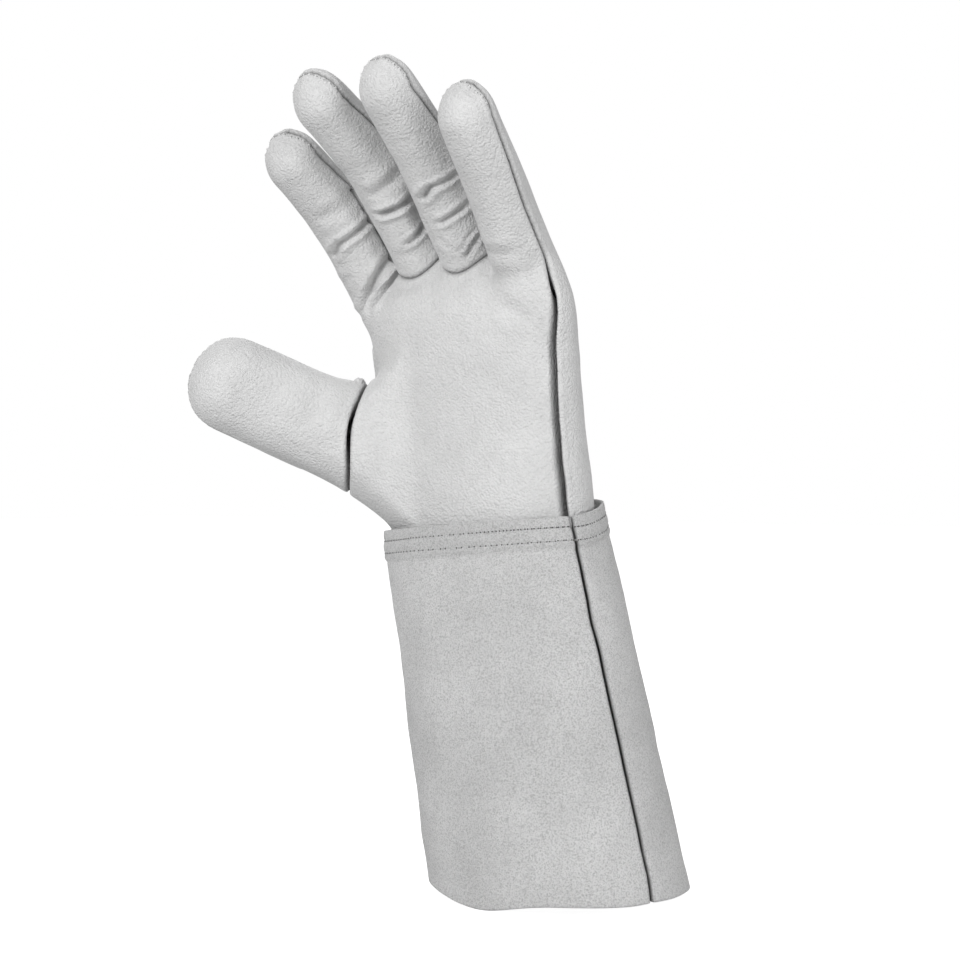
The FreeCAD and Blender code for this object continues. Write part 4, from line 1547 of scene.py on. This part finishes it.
def surface_of(leather):
    """The leather's face for laying stitches on, without its turned-in edges."""
    return BVHTree.FromPolygons(leather.points.tolist(), leather.faces.tolist())


def angles_about(cuff, points):
    """Angle in degrees of each point about the cuff's leaning middle."""
    low, high = cuff.middles
    share = (points[:, 2] - low.z) / (high.z - low.z)
    middle = np.array(low)[None] + share[:, None] * (np.array(high) - np.array(low))[None]
    return np.degrees(np.arctan2(points[:, 1] - middle[:, 1], points[:, 0] - middle[:, 0]))


def drop_below_top(cuff, points):
    """How far below the cuff's top edge each point lies."""
    turn = np.arange(-180.0, 181.0, 6.0)
    tops = [cuff.top(angle) for angle in turn]
    return np.interp(angles_about(cuff, points), turn, tops) - points[:, 2]


def row_drops(cuff, rows):
    return [float(np.median(drop_below_top(cuff, np.array([place for place, _, _ in places]))))
            for places, _ in rows.values()]


def band_share(cuff, points, rows):
    """One on the doubled band at the top edge, nothing below it."""
    return smooth((max(row_drops(cuff, rows)) + 3.5 * MM - drop_below_top(cuff, points)) / (1.5 * MM))


def band_shape(cuff, points, rows):
    """The band's swell, with a groove under each row of stitching."""
    depth = drop_below_top(cuff, points)
    amounts = BAND_SWELL * band_share(cuff, points, rows)
    for row in row_drops(cuff, rows):
        amounts -= STITCH_GROOVE * np.exp(-((depth - row) / STITCH_GROOVE_WIDTH) ** 2)
    return amounts


def hem_droop(cuff, leather):
    """How far the hem's soft edge hangs down, fading out upwards."""
    turn = (angles_about(cuff, leather.points) - HEM_DROOP_ANGLE + 180) % 360 - 180
    fade = smooth(1 - (leather.points[:, 2] - cuff.low_z) / (0.4 * (cuff.high_z - cuff.low_z)))
    return HEM_DROOP * np.exp(-(turn / HEM_DROOP_SPREAD) ** 2) * fade


def build_cuff():
    cuff = Cuff()
    leather = Leather(cuff.cage, lambda groups, place: "cuff")
    leather.seam_distance()
    rows = {node: read_stitches(node) for node in ("cuff_upper_stitching", "cuff_lower_stitching")}
    leather.move(soft_waves(leather, 1.2) + band_shape(cuff, leather.points, rows))
    leather.points[:, 2] -= hem_droop(cuff, leather)
    leather.normals = vertex_normals(leather.points, leather.faces)
    leather.roll_in()
    # painted shade along the seams only
    darkening = painted_seam_and_fold_shade(leather, np.zeros(len(leather.points)), math.inf)

    # painted seam shade, together with the doubled band's own darker tone
    def shade_and_band_tone(points):
        return np.maximum(darkening(points), BAND_TONE * band_share(cuff, points, rows))

    for panel in ("cuff_front", "cuff_back"):
        piece = cut_panel(panel, leather.sheet(panel, SPLIT_THICKNESS), SPLIT, shade_and_band_tone)
        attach(piece, "cuff")
    surface = surface_of(leather)
    for node, (places, length) in rows.items():
        sew(node, places, length, surface, "cuff", CUFF_THREAD, CUFF_THREAD_RADIUS, CUFF_HOLE_RADIUS)


def seam_roll(glove):
    """The rolled end of the thumb seam: a small uneven lozenge of leather."""
    low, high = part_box("thumb_seam_roll")
    middle = Vector(push(glove, np.array([(low + high) / 2]))[0]) + glove.thumb.side * ROLL_SUNK
    _, heading, length = long_axis(np.array([v.co for v in NODES["thumb_seam_roll"].data.vertices]))
    shell = bmesh.new()
    bmesh.ops.create_icosphere(shell, subdivisions=4, radius=1.0)
    side = heading.orthogonal().normalized()
    other = heading.cross(side)
    for vertex in shell.verts:
        x, y, z = vertex.co
        radius = ROLL_RADIUS * (1 + 0.12 * noise.noise(vertex.co * 2.5))
        vertex.co = middle + heading * (z * length * 0.55) + (side * x + other * y) * radius
    piece = add_piece("thumb_seam_roll", mesh_of(shell, "thumb_seam_roll"), [GRAIN])
    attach(piece, "hand")


glove, leather, pieces, tips = build_glove_hand()
bend_pieces(glove, pieces)
leather_surface = surface_of(leather)
for name, (places, length) in tips.items():
    body = name.split("_")[0]
    radius = THUMB_THREAD_RADIUS if body == "thumb" else TIP_THREAD_RADIUS
    sew(name, places, length * TIP_STITCH_SHARE, leather_surface, body, TIP_THREAD, radius, TIP_HOLE_RADIUS)
seam_roll(glove)
build_cuff()


# ---- stage ----------------------------------------------------------------------------------------------
def build_floor():
    mesh = bpy.data.meshes.new("floor")
    half = FLOOR_SIZE / 2
    corners = [(-half, -half, 0), (half, -half, 0), (half, half, 0), (-half, half, 0)]
    mesh.from_pydata(corners, [], [(0, 1, 2, 3)])
    mesh.materials.append(floor_paint())
    floor = link("floor", mesh)
    floor.location.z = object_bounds()[0][2]


def build_world():
    world = bpy.data.worlds.new("studio")
    world.use_nodes = True
    tree = world.node_tree
    background = tree.nodes["Background"]
    path = tree.nodes.new("ShaderNodeLightPath")
    strength = tree.nodes.new("ShaderNodeMapRange")
    tree.links.new(path.outputs["Is Camera Ray"], strength.inputs["Value"])
    strength.inputs["To Min"].default_value = WORLD_LIGHT
    strength.inputs["To Max"].default_value = 1.0
    tree.links.new(strength.outputs[0], background.inputs["Strength"])
    background.inputs["Color"].default_value = (1, 1, 1, 1)
    bpy.context.scene.world = world


def add_softbox(name, place, size, power, target):
    lamp = bpy.data.lights.new(name, "AREA")
    lamp.size = size
    lamp.energy = power
    holder = link(name, lamp)
    holder.location = place
    holder.rotation_euler = (target - place).to_track_quat("-Z", "Y").to_euler()


def build_camera():
    """Level camera, turned from the palm towards the little finger."""
    turn = math.radians(CAMERA_TURN)
    right = Vector((math.cos(turn), math.sin(turn), 0))
    back = Vector((math.sin(turn), -math.cos(turn), 0))
    target = right * CAMERA_SHIFT + UP * CAMERA_HEIGHT
    camera = bpy.data.cameras.new("camera")
    camera.lens = CAMERA_LENS
    camera.sensor_width = 36.0
    holder = link("camera", camera)
    holder.location = target + back * CAMERA_DISTANCE
    holder.rotation_euler = (-back).to_track_quat("-Z", "Y").to_euler()
    bpy.context.scene.camera = holder
    return target, right, back


build_floor()
build_world()
target, right, back = build_camera()
add_softbox("key", target + back * 1.1 - right * 0.7 + UP * 0.6, 0.45, 10.6, target)
add_softbox("rim", target - back * 1.2 - right * 0.3 + UP * 0.7, 0.9, 6.0, target)
add_softbox("fill", target + back * 1.0 + right * 0.9 + UP * 0.1, 0.8, 7.0, target)
bpy.context.scene.view_settings.view_transform = "Standard"
